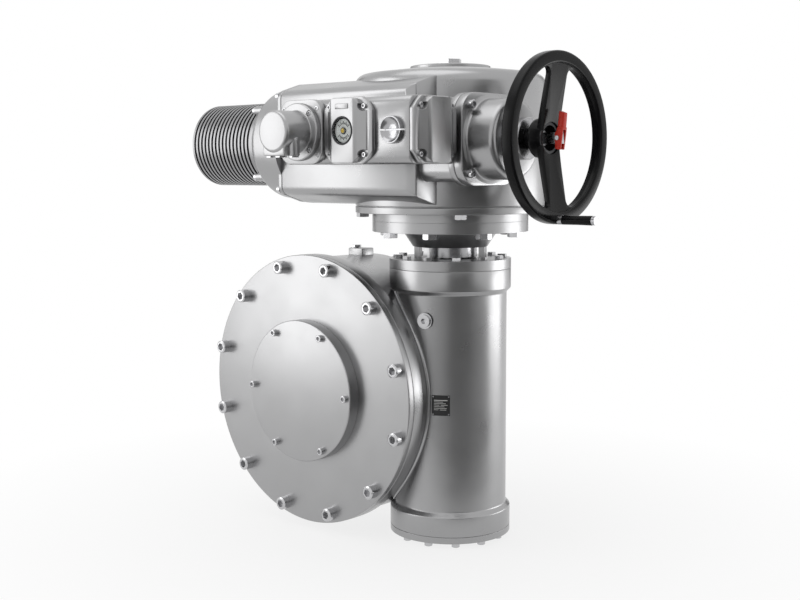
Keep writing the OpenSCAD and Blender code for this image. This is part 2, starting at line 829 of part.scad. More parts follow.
// Oil plug on the worm column
module oil_plug() {
    color("gainsboro") oil_plug_place() difference() {
        union() {
            rod(oil_plug_r, -20, oil_boss_h);
            rod(oil_plug_r + 5.5, oil_boss_h, oil_boss_h + 2.5);
            rod(oil_plug_r + 2, oil_boss_h, oil_boss_h + 7.5);
        }
        rod(6.5, oil_boss_h, oil_boss_h + 10, $fn = 6);
    }
}

// Vent plug on top of the gear housing
module vent_plug() {
    color("gainsboro") translate([vent_x, vent_y, body_r + vent_pad_h]) {
        rod(vent_plug_r, -20, 1);
        rod(vent_plug_r + 4, 0, 2);
        rod(vent_plug_r + 5, 2, 7, $fn = 6);
    }
}

// Bare plate on the column
module nameplate() {
    color("#222222") at_column() rotate([0, 0, nameplate_angle]) intersection() {
        tube(nameplate_r + nameplate_t, nameplate_r, nameplate_z - nameplate_h / 2,
            nameplate_z + nameplate_h / 2);
        translate([0, -column_d / 2, nameplate_z])
            cube([nameplate_w, 30, nameplate_h + 2 * cut], center = true);
    }
}

// Rivets at the corners of the plate
module nameplate_rivets() {
    swing = asin((nameplate_w / 2 - 3) / (column_d / 2));
    color("lightgray") at_column() for (side = [-1, 1], up = [-1, 1])
        rotate([0, 0, nameplate_angle + side * swing])
            translate([0, -nameplate_r - nameplate_t, nameplate_z + up * (nameplate_h / 2 - 3)])
                rotate([90, 0, 0]) cylinder(r = 1.6, h = 1, $fn = 32);
}

// Yoke between the column and the actuator, with windows onto the coupling
module mounting_yoke() {
    color("silver") at_column() difference() {
        union() {
            tube(ring_r, shaft_seal_r, column_top, foot_top);
            tube(shaft_seal_r + cut, shaft_seal_r - 4, column_top, column_top + 4);
            tube(bore_r - seat_fit, bore_r - 16, worm_bearing_out + seat_fit, column_top + cut);
            for (angle = leg_angles)
                rotate([0, 0, angle]) intersection() {
                    tube(leg_r - 0.5, yoke_bore_r + 0.5, foot_top - cut, window_top + cut);
                    translate([-yoke_leg_w / 2, -leg_r - cut, foot_top - 2 * cut])
                        cube([yoke_leg_w, leg_r, yoke_window_h + 4 * cut]);
                }
            turned([[yoke_bore_r, window_top], [leg_r, window_top],
                [yoke_cone_d / 2, yoke_flange_z], [drive_flange_r, yoke_flange_z],
                [drive_flange_r, yoke_top], [yoke_bore_r, yoke_top]]);
        }
        translate([0, 0, foot_top]) staggered(column_bolt_count, column_pcd)
            screw_hole(column_bolt, yoke_foot_t + cut);
        translate([0, 0, yoke_top])
            staggered(drive_bolt_count, drive_flange_pcd)
                screw_hole(drive_bolt, yoke_flange_t + cut);
    }
}

// Hexagon bolts that hold the actuator on the yoke
module drive_flange_bolts() {
    color("lightgray") at_column() translate([0, 0, yoke_flange_z]) rotate([180, 0, 0])
        staggered(drive_bolt_count, drive_flange_pcd)
            hex_bolt(drive_bolt, yoke_flange_t + drive_bolt_depth - cut);
}

// Sleeve that joins the hollow shaft to the worm
module coupling_sleeve() {
    color("darkgray") at_column()
        turned([[worm_shaft_r + seat_fit, coupling_bottom], [coupling_r, coupling_bottom],
            [coupling_r, coupling_top], [neck_r + seat_fit, coupling_top],
            [neck_r + seat_fit, worm_top + cut], [worm_shaft_r + seat_fit, worm_top + cut]]);
}

// Flange under the actuator
module output_flange() {
    color("silver") at_column() difference() {
        tube(drive_flange_r, shaft_r + 8, yoke_top, drum_bottom);
        translate([0, 0, yoke_top]) rotate([180, 0, 0])
            staggered(drive_bolt_count, drive_flange_pcd)
                screw_hole(drive_bolt, drive_bolt_depth);
    }
}

// Hexagon bolts under the drum's flange
module output_flange_bolts() {
    color("lightgray") at_column() translate([0, 0, drum_bottom]) rotate([180, 0, 0])
        around(4, drum_bolt_r, 45) hex_bolt(drum_bolt, drum_bolt_depth - cut);
}

// Quarter of the casing's outline across the motor axis, drawn smaller by an inset
function casing_quarter(inset) =
    let (deep = casing_depth - inset, face = casing_face_half - inset,
        mid = casing_depth * 0.38, mid_h = casing_half - 4 - inset,
        slope = atan((mid_h - face) / (deep - mid)),
        r = max(casing_corner_r - inset, 1),
        z = face - r * (1 - sin(slope)) / cos(slope))
    concat([for (i = [0 : 5]) let (a = i * (90 - slope) / 5) [deep - r + r * cos(a), z + r * sin(a)]],
        [[mid, mid_h], [0, casing_half - inset]]);

// Outline of the casing across the motor axis, drawn smaller by an inset
module casing_section(inset) {
    for (side = [0, 1], up = [0, 1])
        mirror([side, 0]) mirror([0, up]) polygon(concat([[-cut, -cut], [casing_depth - inset, -cut]],
            casing_quarter(inset), [[-cut, casing_half - inset]]));
}

// The casing between two places along the motor axis, drawn smaller by an inset
module casing_body(x0, x1, inset) {
    at_drive() extruded_x(x0, x1) casing_section(inset);
}

// Drum, motor casing and handwheel neck of the actuator, cast in one
module actuator_housing() {
    arc = [for (a = [0 : 15 : 90]) [drum_r - shoulder_r + shoulder_r * cos(a),
        shoulder_z + shoulder_r * sin(a)]];
    color("silver") difference() {
        union() {
            difference() {
                union() {
                    at_column() turned(concat([[0, drum_bottom], [drum_flange_r, drum_bottom],
                        [drum_flange_r, drum_bottom + drum_flange_h],
                        [drum_r - 1.5, drum_bottom + drum_flange_h + 0.5],
                        [drum_r - 1.5, drum_bottom + drum_flange_h + 2],
                        [drum_r, drum_bottom + drum_flange_h + 2.5]], arc,
                        [[top_plate_d / 2, dome_z], [0, dome_z]]));
                    casing_body(casing_x0, casing_x1, 0);
                    at_drive() {
                        extruded_x(worm_x, neck_x1) rounded_square(neck_half, 24);
                        extruded_x(neck_x1 - 14, neck_x1) rounded_square(bonnet_flange_half, 26);
                    }
                }
                at_column() turned([[0, drum_floor_z], [drum_inner_r, drum_floor_z],
                    [drum_inner_r, shoulder_z - 8], [drum_inner_r - 20, roof_z], [0, roof_z]]);
                casing_body(casing_x0 + drive_wall, casing_x1 - drive_wall, drive_wall);
                on_drive_axis() {
                    rod(casing_depth - drive_wall, casing_x0 - cut, casing_x0 + drive_wall + cut);
                    rod(neck_half - 11, worm_x, neck_x1 + cut);
                }
            }
            casing_body(worm_x - carrier_off - carrier_t, worm_x - carrier_off, drive_wall - cut);
            on_drive_axis()
                rod(neck_half - 10, worm_x + carrier_off, worm_x + carrier_off + carrier_t);
            at_column() tube(shaft_bearing_r + drive_wall, shaft_bearing_r, upper_bearing_z,
                roof_z + cut);
        }
        at_column() {
            rod(shaft_bearing_r, lower_bearing_z, drum_floor_z + cut);
            rod(shaft_r + 8, drum_bottom - cut, drum_floor_z);
            rod(top_hole_r, roof_z - cut, dome_z + cut);
            rod(drive_wheel_pitch_r + drive_module + 6, drive_axis_z - drive_wheel_width / 2 - 5,
                drive_axis_z + drive_wheel_width / 2 + 5);
            translate([0, 0, drum_bottom]) rotate([180, 0, 0])
                around(4, drum_bolt_r, 45) screw_hole(drum_bolt, drum_bolt_depth);
        }
        on_drive_axis() {
            rod(drive_bearing_r, worm_x - carrier_off - carrier_t - cut,
                worm_x + carrier_off + carrier_t + cut);
        }
        translate([casing_x1 - casing_end_bevel[0], casing_front_y, 0])
            rotate([0, 0, atan(casing_end_bevel[1] / casing_end_bevel[0])])
                translate([0, -20, drum_bottom + drum_flange_h + 3])
                    cube([casing_end_bevel[0] + 4, 20, 3 * casing_half]);
        at_drive()
            extruded_x(neck_x1, neck_x1 + 30) rounded_square(bonnet_flange_half + 1, 26);
        at_drive()
            for (y = [-1, 1], z = [-1, 1]) {
                translate([casing_x0, y * casing_screw_y, z * casing_screw_z]) rotate([0, -90, 0])
                    screw_hole(motor_screw, motor_screw_depth);
                translate([neck_x1, y * bonnet_screw_half, z * bonnet_screw_half]) rotate([0, 90, 0])
                    screw_hole(bonnet_screw, 14 + cut);
            }
    }
}

// Round plate on top of the drum
module top_plate() {
    color("gainsboro") at_column() turned([[0, dome_z], [top_plate_d / 2, dome_z],
        [top_plate_d / 2, dome_z + 5], [top_plate_d / 2 - 3, dome_z + 6.5],
        [30, dome_z + top_plate_h], [0, dome_z + top_plate_h]]);
}

// Hexagon plug on the top plate
module top_plug() {
    color("lightgray") at_column()
        rod(26, dome_z + top_plate_h, dome_z + top_plate_h + 9.5, $fn = 6);
}

// Hollow output shaft of the actuator
module hollow_shaft() {
    color("slategray") at_column() turned([[hollow_shaft_bore / 2, hollow_shaft_bottom],
        [neck_r, hollow_shaft_bottom], [neck_r, yoke_top], [shaft_r, yoke_top],
        [shaft_r, hollow_shaft_top], [hollow_shaft_bore / 2, hollow_shaft_top]]);
}

// Worm wheel on the hollow shaft
module drive_wheel() {
    color("darkgoldenrod") at_column() translate([0, 0, drive_axis_z]) rotate([0, 0, -90])
        union() {
            toothed_wheel(drive_module, drive_wheel_teeth, drive_wheel_width,
                atan(drive_module * drive_worm_starts / drive_worm_pitch_d), shaft_r + seat_fit);
            tube(shaft_r + 22, shaft_r + seat_fit, -drive_wheel_width / 2 - 12,
                drive_wheel_width / 2 + 12);
        }
}

// Shared places of the worm line's bearings about the column's axis
module worm_line_bearings(part) {
    for (z = [-worm_bearing_out, worm_bearing_in])
        translate([0, 0, z])
            if (part == "outer") outer_ring(worm_shaft_r, bore_r, worm_bearing_w);
            else inner_ring(worm_shaft_r, bore_r, worm_bearing_w);
    for (z = [lower_bearing_z, upper_bearing_z])
        translate([0, 0, z])
            if (part == "outer") outer_ring(shaft_r, shaft_bearing_r, shaft_bearing_w);
            else inner_ring(shaft_r, shaft_bearing_r, shaft_bearing_w);
}

// Shared places of the motor line's bearings along the motor axis
module motor_line_bearings(part) {
    web_x = carrier_off + (carrier_t - drive_bearing_w) / 2;
    for (x = [bell_bearing_x, worm_x - web_x - drive_bearing_w, worm_x + web_x])
        translate([0, 0, x])
            if (part == "outer") outer_ring(drive_shaft_r, drive_bearing_r, drive_bearing_w);
            else inner_ring(drive_shaft_r, drive_bearing_r, drive_bearing_w);
    translate([0, 0, rear_bearing_x])
        if (part == "outer") outer_ring(motor_shaft_r, rear_bearing_r, rear_bearing_w);
        else inner_ring(motor_shaft_r, rear_bearing_r, rear_bearing_w);
}

// Outer rings of all ball bearings
module bearing_outer_rings() {
    color("lightsteelblue") {
        at_column() worm_line_bearings("outer");
        on_drive_axis() motor_line_bearings("outer");
    }
}

// Inner rings and balls that turn with the worm and the hollow shaft
module worm_line_rings() {
    color("lightsteelblue") at_column() worm_line_bearings("inner");
}

// Inner rings and balls that turn with the motor's shaft
module motor_line_rings() {
    color("lightsteelblue") on_drive_axis() motor_line_bearings("inner");
}

// Bell between the motor and the casing
module motor_bell() {
    bell_r = bell_d / 2;
    inner_r = bell_r - 14;
    color("silver") difference() {
        union() {
            on_drive_axis() {
                turned([[0, motor_x1], [fin_r, motor_x1], [bell_r, bell_x0],
                    [bell_r + 2, casing_x0 - cut], [0, casing_x0 - cut]]);
                around(4, motor_screw_r, motor_screw_angle)
                    rod(10, motor_screw_x, bell_x0);
            }
            casing_body(casing_x0 - bell_flange_t, casing_x0, 0);
        }
        on_drive_axis() {
            turned([[0, bell_bearing_x + drive_bearing_w], [inner_r - 20, bell_bearing_x + drive_bearing_w],
                [inner_r, bell_x0], [inner_r, casing_x0 + cut], [0, casing_x0 + cut]]);
            rod(drive_bearing_r, bell_bearing_x, bell_bearing_x + drive_bearing_w + cut);
            rod(drive_shaft_r + 4, motor_x1 - cut, bell_bearing_x + cut);
            around(4, motor_screw_r, motor_screw_angle) translate([0, 0, motor_screw_x])
                rotate([180, 0, 0]) screw_hole(motor_screw, motor_screw_depth);
        }
        at_drive()
            for (y = [-1, 1], z = [-1, 1])
                translate([casing_x0 - bell_flange_t, y * casing_screw_y, z * casing_screw_z])
                    rotate([0, -90, 0]) screw_hole(motor_screw, bell_flange_t + cut);
    }
}

// Finned motor housing
module motor_housing() {
    pitch = motor_len / fin_count;
    fins = [for (i = [0 : fin_count - 1])
        each [[fin_r, fins_x0 + i * pitch], [fin_r, fins_x0 + (i + 0.5) * pitch],
            [fin_root_r, fins_x0 + (i + 0.5) * pitch], [fin_root_r, fins_x0 + (i + 1) * pitch]]];
    color("dimgray") on_drive_axis()
        turned(concat([[stator_r, fins_x0]], fins,
            [[fin_r, fins_x1], [fin_r, motor_x1], [stator_r, motor_x1]]));
}

// Cover at the free end of the motor
module motor_end_cover() {
    color("dimgray") on_drive_axis() turned([[0, fins_x0 - 8], [stator_r, fins_x0 - 8],
        [stator_r + 4, fins_x0 - 4], [stator_r + 4, fins_x0], [stator_r - seat_fit, fins_x0],
        [stator_r - seat_fit, fins_x0 + 6], [rear_bearing_r + 12, fins_x0 + 6],
        [rear_bearing_r + 8, rear_bearing_x + rear_bearing_w],
        [rear_bearing_r, rear_bearing_x + rear_bearing_w], [rear_bearing_r, rear_bearing_x],
        [rear_bearing_r - 6, rear_bearing_x], [rear_bearing_r - 6, fins_x0], [0, fins_x0]]);
}

// Screws that hold the bell on the casing and the motor on the bell
module motor_screws() {
    color("lightgray") {
        at_drive()
            for (y = [-1, 1], z = [-1, 1])
                translate([casing_x0 - bell_flange_t, y * casing_screw_y, z * casing_screw_z])
                    rotate([0, -90, 0])
                        socket_screw(motor_screw, bell_flange_t + motor_screw_depth - 2);
        on_drive_axis() around(4, motor_screw_r, motor_screw_angle)
            translate([0, 0, motor_screw_x]) rotate([180, 0, 0])
                socket_screw(motor_screw, motor_screw_depth - 2);
    }
}

// Stator of the motor
module stator() {
    color("brown") on_drive_axis()
        tube(stator_r - seat_fit, rotor_r + air_gap, stator_x0, stator_x0 + stator_len);
}

// Rotor on the motor's shaft
module rotor() {
    color("gray") on_drive_axis()
        tube(rotor_r, motor_shaft_r + seat_fit, stator_x0 + 4, stator_x0 + stator_len - 4);
}

// Motor shaft with the actuator's worm
module drive_worm_shaft() {
    half = drive_worm_len / 2;
    color("slategray") on_drive_axis() {
        translate([0, 0, worm_x]) rotate([0, 0, 90])
            worm_thread(drive_module, drive_worm_pitch_d / 2, drive_worm_starts, drive_worm_len, 36, 24);
        rod(motor_shaft_r, shaft_x0, bell_bearing_x - 3);
        rod(drive_shaft_r, bell_bearing_x - 4, worm_x - half + cut);
        rod(drive_shaft_r, worm_x + half - cut, shaft_x1);
    }
}

// Bonnet that carries the handwheel's shaft
module bonnet() {
    barrel_r = bonnet_d / 2;
    color("silver") difference() {
        union() {
            at_drive()
                extruded_x(neck_x1, bonnet_x1) rounded_square(bonnet_flange_half, 26);
            on_drive_axis() turned([[0, bonnet_x1 - cut], [barrel_r, bonnet_x1 - cut],
                [barrel_r, bonnet_end - 8], [barrel_r - 8, bonnet_end], [0, bonnet_end]]);
        }
        on_drive_axis() {
            turned([[0, neck_x1 - cut], [barrel_r - 12, neck_x1 - cut],
                [barrel_r - 12, bonnet_end - 26], [barrel_r - 22, bonnet_end - 16],
                [0, bonnet_end - 16]]);
            rod(hand_shaft_r + running_fit, bonnet_end - 20, bonnet_end + cut);
        }
        translate([bonnet_x1, drive_y, drive_axis_z])
            for (y = [-1, 1], z = [-1, 1])
                translate([0, y * bonnet_screw_half, z * bonnet_screw_half]) rotate([0, 90, 0])
                    screw_hole(bonnet_screw, bonnet_flange_t + cut);
    }
}

// Screws of the bonnet
module bonnet_screws() {
    color("lightgray") translate([bonnet_x1, drive_y, drive_axis_z])
        for (y = [-1, 1], z = [-1, 1])
            translate([0, y * bonnet_screw_half, z * bonnet_screw_half]) rotate([0, 90, 0])
                socket_screw(bonnet_screw, bonnet_flange_t + 12);
}

// Collar on the end of the bonnet
module bonnet_collar() {
    collar_r = collar_d / 2;
    color("gainsboro") on_drive_axis() turned([[hand_shaft_r + running_fit, bonnet_end],
        [collar_r, bonnet_end], [collar_r, collar_end - 2], [collar_r - 2, collar_end],
        [hand_shaft_r + running_fit, collar_end]]);
}

// Handwheel with two dished spokes
module handwheel() {
    hub_r0 = hub_ring_d / 2;
    half = rim_w / 2;
    color("#202020") difference() {
        at_drive() union() {
            along_x() {
                turned([[0, hub_x0], [hub_r0, hub_x0], [hub_r0, hub_x0 + 24], [hub_r0 - 7.5, hub_x1],
                    [0, hub_x1]]);
                translate([0, 0, rim_x]) rotate_extrude() translate([rim_r, 0])
                    rounded_square(half, 4);
            }
            for (side = [0, 180])
                rotate([side, 0, 0]) translate([0, spoke_w / 2, 0]) rotate([90, 0, 0])
                    linear_extrude(spoke_w) polygon([[hub_x1 - 12, 20], [hub_x1 + 5, 20],
                        [rim_x + half - 3, rim_r], [rim_x + half - 3 - spoke_t, rim_r]]);
        }
        on_drive_axis() {
            rod(hand_shaft_r + seat_fit, hub_x0 - cut, hub_x1);
            rod(hub_hollow_r, tongue_x0, rim_x);
            rod(hub_hollow_r + 6.5, hub_x1, rim_x);
        }
        crank_place() rod(crank_pin_r + seat_fit, -rim_w - cut, cut);
    }
}

// Puts a shape's Z axis on the crank's place, from the rim's face outwards
module crank_place() {
    translate([crank_base_x, drive_y, drive_axis_z]) rotate([-crank_angle, 0, 0])
        translate([0, 0, -crank_r]) along_x() children();
}

// Shaft of the handwheel, with the flat tongue for the lever
module handwheel_shaft() {
    color("lightgray") difference() {
        at_drive() union() {
            along_x() rod(hand_shaft_r, hand_shaft_x0, tongue_x0);
            translate([tongue_x0 - cut, -tongue_t / 2, -tongue_h / 2])
                cube([lever_x - tongue_x0 + cut + 8.5, tongue_t, tongue_h]);
        }
        lever_place() rod(lever_pin_r + seat_fit, -lever_w, lever_w, $fn = 48);
    }
}

// Puts a shape's Z axis along -Y on the lever's pin
module lever_place() {
    translate([lever_x, drive_y, drive_axis_z]) rotate([90, 0, 0]) children();
}

// Retaining ring on the front of the handwheel's hub
module hub_ring() {
    color("gray") on_drive_axis() tube(hub_hollow_r + 6, hub_hollow_r, hub_x1, hub_x1 + hub_ring_t);
}

// Collar, pin and end cap of the crank
module crank_pin() {
    grip_end = crank_collar + grip_len + 0.6;
    color("lightgray") crank_place() {
        rod(crank_pin_r, -rim_w, grip_end + 1);
        rod(grip_d / 2, 0, crank_collar);
        rod(grip_d / 2 - 0.5, grip_end, grip_end + 7);
    }
}

// Loose grip that turns on the crank's pin
module crank_grip() {
    color("#202020") crank_place()
        tube(grip_d / 2, crank_pin_r + running_fit, crank_collar + 0.3, crank_collar + grip_len + 0.3);
}

// Red lever that changes over between motor and handwheel
module changeover_lever() {
    top = lever_len - lever_tail;
    color("red") difference() {
        translate([lever_x, drive_y + lever_w / 2, drive_axis_z]) rotate([90, 0, 0])
            linear_extrude(lever_w) polygon([[-4.5, 2 - lever_tail], [7, -lever_tail],
                [11, 8], [14, top - 5], [13.5, top - 3.5], [4, top], [2.5, top - 1], [-1, 16], [-6, 8]]);
        translate([lever_x - lever_len, drive_y - tongue_t / 2 - 0.3, drive_axis_z - lever_len])
            cube([2 * lever_len, tongue_t + 0.6, lever_len + 15]);
        for (side = [-1, 1])
            translate([lever_x - lever_len, drive_y + side * lever_w / 2 - 2, drive_axis_z + 20])
                cube([2 * lever_len, 4, lever_len]);
        lever_place() rod(lever_pin_r + running_fit, -lever_w, lever_w, $fn = 48);
    }
}

// Pin of the lever, with a head on each end
module lever_pin() {
    half = lever_w / 2;
    color("lightgray") lever_place() {
        rod(lever_pin_r, -half - 1, half + 1, $fn = 48);
        rod(lever_pin_r + 1.5, half + 0.3, half + 1.8, $fn = 48);
        rod(lever_pin_r + 1.5, -half - 1.8, -half - 0.3, $fn = 48);
    }
}

// Housing of the controls, in front of the casing
module control_housing() {
    h = control_half;
    color("silver") difference() {
        translate([0, 0, control_z]) extruded_x(control_x0, control_x1)
            polygon([[casing_front_y, -h], [casing_front_y, h],
                [control_front_y + control_chamfer, h], [control_front_y, h - control_chamfer],
                [control_front_y, control_chamfer - h], [control_front_y + control_chamfer, -h]]);
        translate([0, 0, control_z])
            extruded_x(control_x0 + control_wall, control_x1 + cut)
                translate([(casing_front_y + control_front_y) / 2, 0])
                    rounded_square(h - control_wall, 20);
        for (hole = [[display_x, dial_spindle_r + running_fit], [plug_x, plug_r - 8],
                [side_plug_x, side_plug_thread_r + seat_fit]])
            translate([hole[0], 0, control_z])
                extruded_y(control_front_y - cut, control_front_y + control_wall + cut)
                    circle(r = hole[1]);
        front_screws() screw_hole(control_screw, control_screw_depth);
        end_screws() screw_hole(control_screw, control_screw_depth);
    }
}

// Screw places on the front of the controls, at the housing's face
module front_screws() {
    for (x = [display_x, plug_x], sx = [-1, 1], sz = [-1, 1])
        translate([x + sx * cover_screw_half, control_front_y, control_z + sz * cover_screw_half])
            rotate([90, 0, 0]) children();
}

// Screw places on the end of the controls, at the housing's face
module end_screws() {
    mid_y = (casing_front_y + control_front_y) / 2;
    for (sy = [-1, 1], sz = [-1, 1])
        translate([control_x1, mid_y + sy * cover_screw_half, control_z + sz * cover_screw_half])
            rotate([0, 90, 0]) children();
}

// Cover of the controls on its back at z = 0, its raised band along Y
module cover_shape() {
    linear_extrude(cover_rim_t) rounded_square(control_half, cover_corner_r);
    intersection() {
        linear_extrude(cover_rim_t + cover_raise) rounded_square(control_half - 2, cover_corner_r);
        rotate([90, 0, 0]) linear_extrude(control_size, center = true)
            polygon([[-cover_body_half, 0], [cover_body_half, 0], [cover_body_half, cover_rim_t],
                [cover_band_half, cover_rim_t + cover_raise],
                [-cover_band_half, cover_rim_t + cover_raise], [-cover_body_half, cover_rim_t]]);
    }
}

// Corner pockets and holes for the four screws of a cover
module cover_screw_cuts() {
    for (x = [-1, 1], y = [-1, 1])
        translate([x * cover_screw_half, y * cover_screw_half, 0]) {
            translate([0, 0, -cut]) cylinder(d = control_screw[0] + 2 * seat_fit, h = 40);
            translate([0, 0, cover_rim_t]) cylinder(r = 10, h = 40);
        }
}

// Puts a cover's back on the controls' front
module on_front(x) {
    translate([x, control_front_y, control_z]) rotate([90, 0, 0]) children();
}

// Cover with the window
module display_cover() {
    color("gainsboro") on_front(display_x) difference() {
        cover_shape();
        cover_screw_cuts();
        rod(window_r, -cut, cover_rim_t + cover_raise + cut);
    }
}

// Dark ring round the window
module window_bezel() {
    color("#303030") on_front(display_x)
        tube(window_r - seat_fit, window_r - 4, cover_rim_t + 4, cover_rim_t + cover_raise + 1);
}

// Window over the dial
module window_glass() {
    color("lightblue", 0.35) on_front(display_x)
        tube(window_r - 4 - seat_fit, 0, cover_rim_t + cover_raise - 2,
        cover_rim_t + cover_raise + 0.5);
}

// Turning disc that shows the valve's position
module indicator_dial() {
    color("white") on_front(display_x) {
        rod(window_r - 5, dial_face - 2, dial_face);
        rod(dial_spindle_r, -control_wall, dial_face - 1);
        rod(4, dial_face - 0.5, dial_face + 2.5);
    }
}

// Blank cover on the end of the controls
module end_cover() {
    color("gainsboro")
        translate([control_x1, (casing_front_y + control_front_y) / 2, control_z])
            rotate([90, 0, 90]) difference() {
                cover_shape();
                cover_screw_cuts();
            }
}

// Round plug with a coin slot on the front of the controls
module side_plug() {
    color("gainsboro") translate([side_plug_x, control_front_y, control_z]) rotate([90, 0, 0])
        difference() {
            union() {
                cylinder(r = side_plug_r, h = 10);
                rod(side_plug_thread_r, -control_wall, 1);
            }
            translate([0, 0, 10 + 60 - 4]) sphere(r = 60);
            translate([-side_plug_r - cut, -1.5, 4]) cube([2 * side_plug_r + 2 * cut, 3, 10]);
        }
}

// Plate between the controls and the plug connector
module plug_flange() {
    color("silver") on_front(plug_x) difference() {
        linear_extrude(plug_flange_t) intersection() {
            rounded_square(control_half - 0.5, 46);
            square(2 * [plate_half, control_half], center = true);
        }
        rod(plug_r - 8, -cut, plug_flange_t + cut);
        for (x = [-1, 1], y = [-1, 1])
            translate([x * cover_screw_half, y * cover_screw_half, 0]) {
                translate([0, 0, -cut]) cylinder(d = control_screw[0] + 2 * seat_fit, h = 40);
                translate([0, 0, cover_rim_t]) cylinder(r = 7, h = 40);
            }
        around(4, plug_screw_r, 45) translate([0, 0, plug_flange_t]) screw_hole(control_screw, 10);
    }
}

// Plug connector with its block of cable entries
module plug_housing() {
    back = plug_ring_y;
    len = plug_base_y - plug_end_y;
    color("gainsboro") translate([plug_x, back, control_z]) rotate([90, 0, 0]) difference() {
        union() {
            cylinder(r = plug_ring_r, h = plug_ring_t);
            turned([[0, 0], [plug_r, 0], [plug_r, plug_ring_t + len - 6],
                [plug_r - 4, plug_ring_t + len], [0, plug_ring_t + len]]);
            translate([10 - plug_r, -entry_drop, plug_ring_t + len - 28])
                cube([2 * plug_r - 23, entry_drop, 24]);
            translate([entry_boss_x, -entry_drop, plug_ring_t + len - 29]) rotate([-90, 0, 0])
                cylinder(r = entry_boss_r, h = entry_drop);
        }
        rod(plug_r - 8, -cut, plug_end_z - 11);
        around(4, plug_screw_r, 45) translate([0, 0, plug_ring_t])
            screw_hole(control_screw, plug_ring_t + cut);
        around(4, plug_screw_r, 45) translate([0, 0, plug_ring_t - 5]) cylinder(r = 6, h = 20);
        for (e = entries)
            translate([e[0], -entry_drop - cut, plug_end_z - e[1]]) rotate([-90, 0, 0])
                cylinder(r = e[2] + seat_fit, h = entry_drop - 10);
    }
}

// Blanking plugs in the cable entries
module cable_plugs() {
    color("gray") translate([plug_x, plug_ring_y, control_z]) rotate([90, 0, 0])
        for (e = entries)
            translate([e[0], -entry_drop, plug_end_z - e[1]]) rotate([90, 0, 0]) {
                cylinder(r = e[2] + 2.5, h = 3, $fn = 6);
                translate([0, 0, -12]) cylinder(r = e[2], h = 12.5);
            }
}

// Screws of the covers, the plug's plate and the plug connector
module control_screws() {
    color("lightgray") {
        for (x = [display_x, plug_x])
            on_front(x) for (sx = [-1, 1], sy = [-1, 1])
                translate([sx * cover_screw_half, sy * cover_screw_half, cover_rim_t])
                    socket_screw(control_screw, cover_rim_t + control_screw_depth - 1);
        end_screws() translate([0, 0, cover_rim_t])
            socket_screw(control_screw, cover_rim_t + control_screw_depth - 1);
        translate([plug_x, plug_ring_y, control_z]) rotate([90, 0, 0])
            around(4, plug_screw_r, 45) translate([0, 0, plug_ring_t - 5])
                socket_screw(control_screw, plug_ring_t - 5 + 8);
    }
}

gear_housing();
front_cover();
front_cover_seal();
front_cover_screws();
end_cap();
end_cap_screws();
wheel_bushes();
output_seal();
worm_wheel();
drive_sleeve();
gearbox_worm();
column_bottom_cover();
column_bottom_screws();
column_top_bolts();
worm_shaft_seal();
oil_plug();
vent_plug();
nameplate();
nameplate_rivets();
mounting_yoke();
drive_flange_bolts();
coupling_sleeve();
output_flange();
output_flange_bolts();
actuator_housing();
top_plate();
top_plug();
hollow_shaft();
drive_wheel();
bearing_outer_rings();
worm_line_rings();
motor_line_rings();
motor_bell();
motor_housing();
motor_end_cover();
motor_screws();
stator();
rotor();
drive_worm_shaft();
bonnet();
bonnet_screws();
bonnet_collar();
handwheel();
handwheel_shaft();
hub_ring();
crank_pin();
crank_grip();
changeover_lever();
lever_pin();
control_housing();
cable_plugs();
display_cover();
window_bezel();
window_glass();
indicator_dial();
end_cover();
side_plug();
plug_flange();
plug_housing();
control_screws();
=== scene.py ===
"""Electric valve actuator on a worm gearbox: finishes, dressed pieces, light and camera.

Light and camera are in metres. The modelled pieces are in millimetres, in the frame of the CAD, and
each function names the piece that it makes. Profiles are lists of (radius, place along the axis).
"""
import json
import math
import bpy
from mathutils import Matrix, Vector


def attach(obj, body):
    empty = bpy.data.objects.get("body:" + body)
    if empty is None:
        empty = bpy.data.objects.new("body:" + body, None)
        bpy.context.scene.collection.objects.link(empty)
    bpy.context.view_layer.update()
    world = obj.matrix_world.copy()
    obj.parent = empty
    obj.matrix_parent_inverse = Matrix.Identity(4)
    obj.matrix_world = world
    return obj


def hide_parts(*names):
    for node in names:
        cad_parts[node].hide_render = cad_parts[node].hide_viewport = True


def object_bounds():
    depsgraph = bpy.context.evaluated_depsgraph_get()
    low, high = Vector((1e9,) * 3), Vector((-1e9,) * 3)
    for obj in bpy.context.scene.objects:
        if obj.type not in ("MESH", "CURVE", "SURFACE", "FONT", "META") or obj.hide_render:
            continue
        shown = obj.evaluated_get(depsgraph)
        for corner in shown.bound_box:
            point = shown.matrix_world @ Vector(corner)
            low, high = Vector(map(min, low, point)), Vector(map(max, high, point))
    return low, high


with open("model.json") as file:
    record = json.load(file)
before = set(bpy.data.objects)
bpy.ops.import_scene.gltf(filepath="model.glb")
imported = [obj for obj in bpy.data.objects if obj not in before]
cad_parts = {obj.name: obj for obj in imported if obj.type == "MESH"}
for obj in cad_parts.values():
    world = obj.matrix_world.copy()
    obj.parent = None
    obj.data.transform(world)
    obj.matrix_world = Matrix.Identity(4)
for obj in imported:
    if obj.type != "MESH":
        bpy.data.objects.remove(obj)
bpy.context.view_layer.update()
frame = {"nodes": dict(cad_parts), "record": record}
MM = 0.001
NODES = frame["nodes"]


# ---------- camera, floor and light ----------

# The camera, solved from the photograph
CAMERA_PLACE = (1.9651, -2.2555, 0.5041)
CAMERA_HEADING, CAMERA_DOWN, CAMERA_ROLL = 41.2, 6.2, -0.21
FOCAL_PX, PHOTO_PX, SENSOR_MM = 1204.1, 800, 36
# Across the floor, from the object to the camera and to the right of that way
TO_CAMERA, TO_RIGHT = Vector((0.659, -0.752)), Vector((0.752, 0.659))
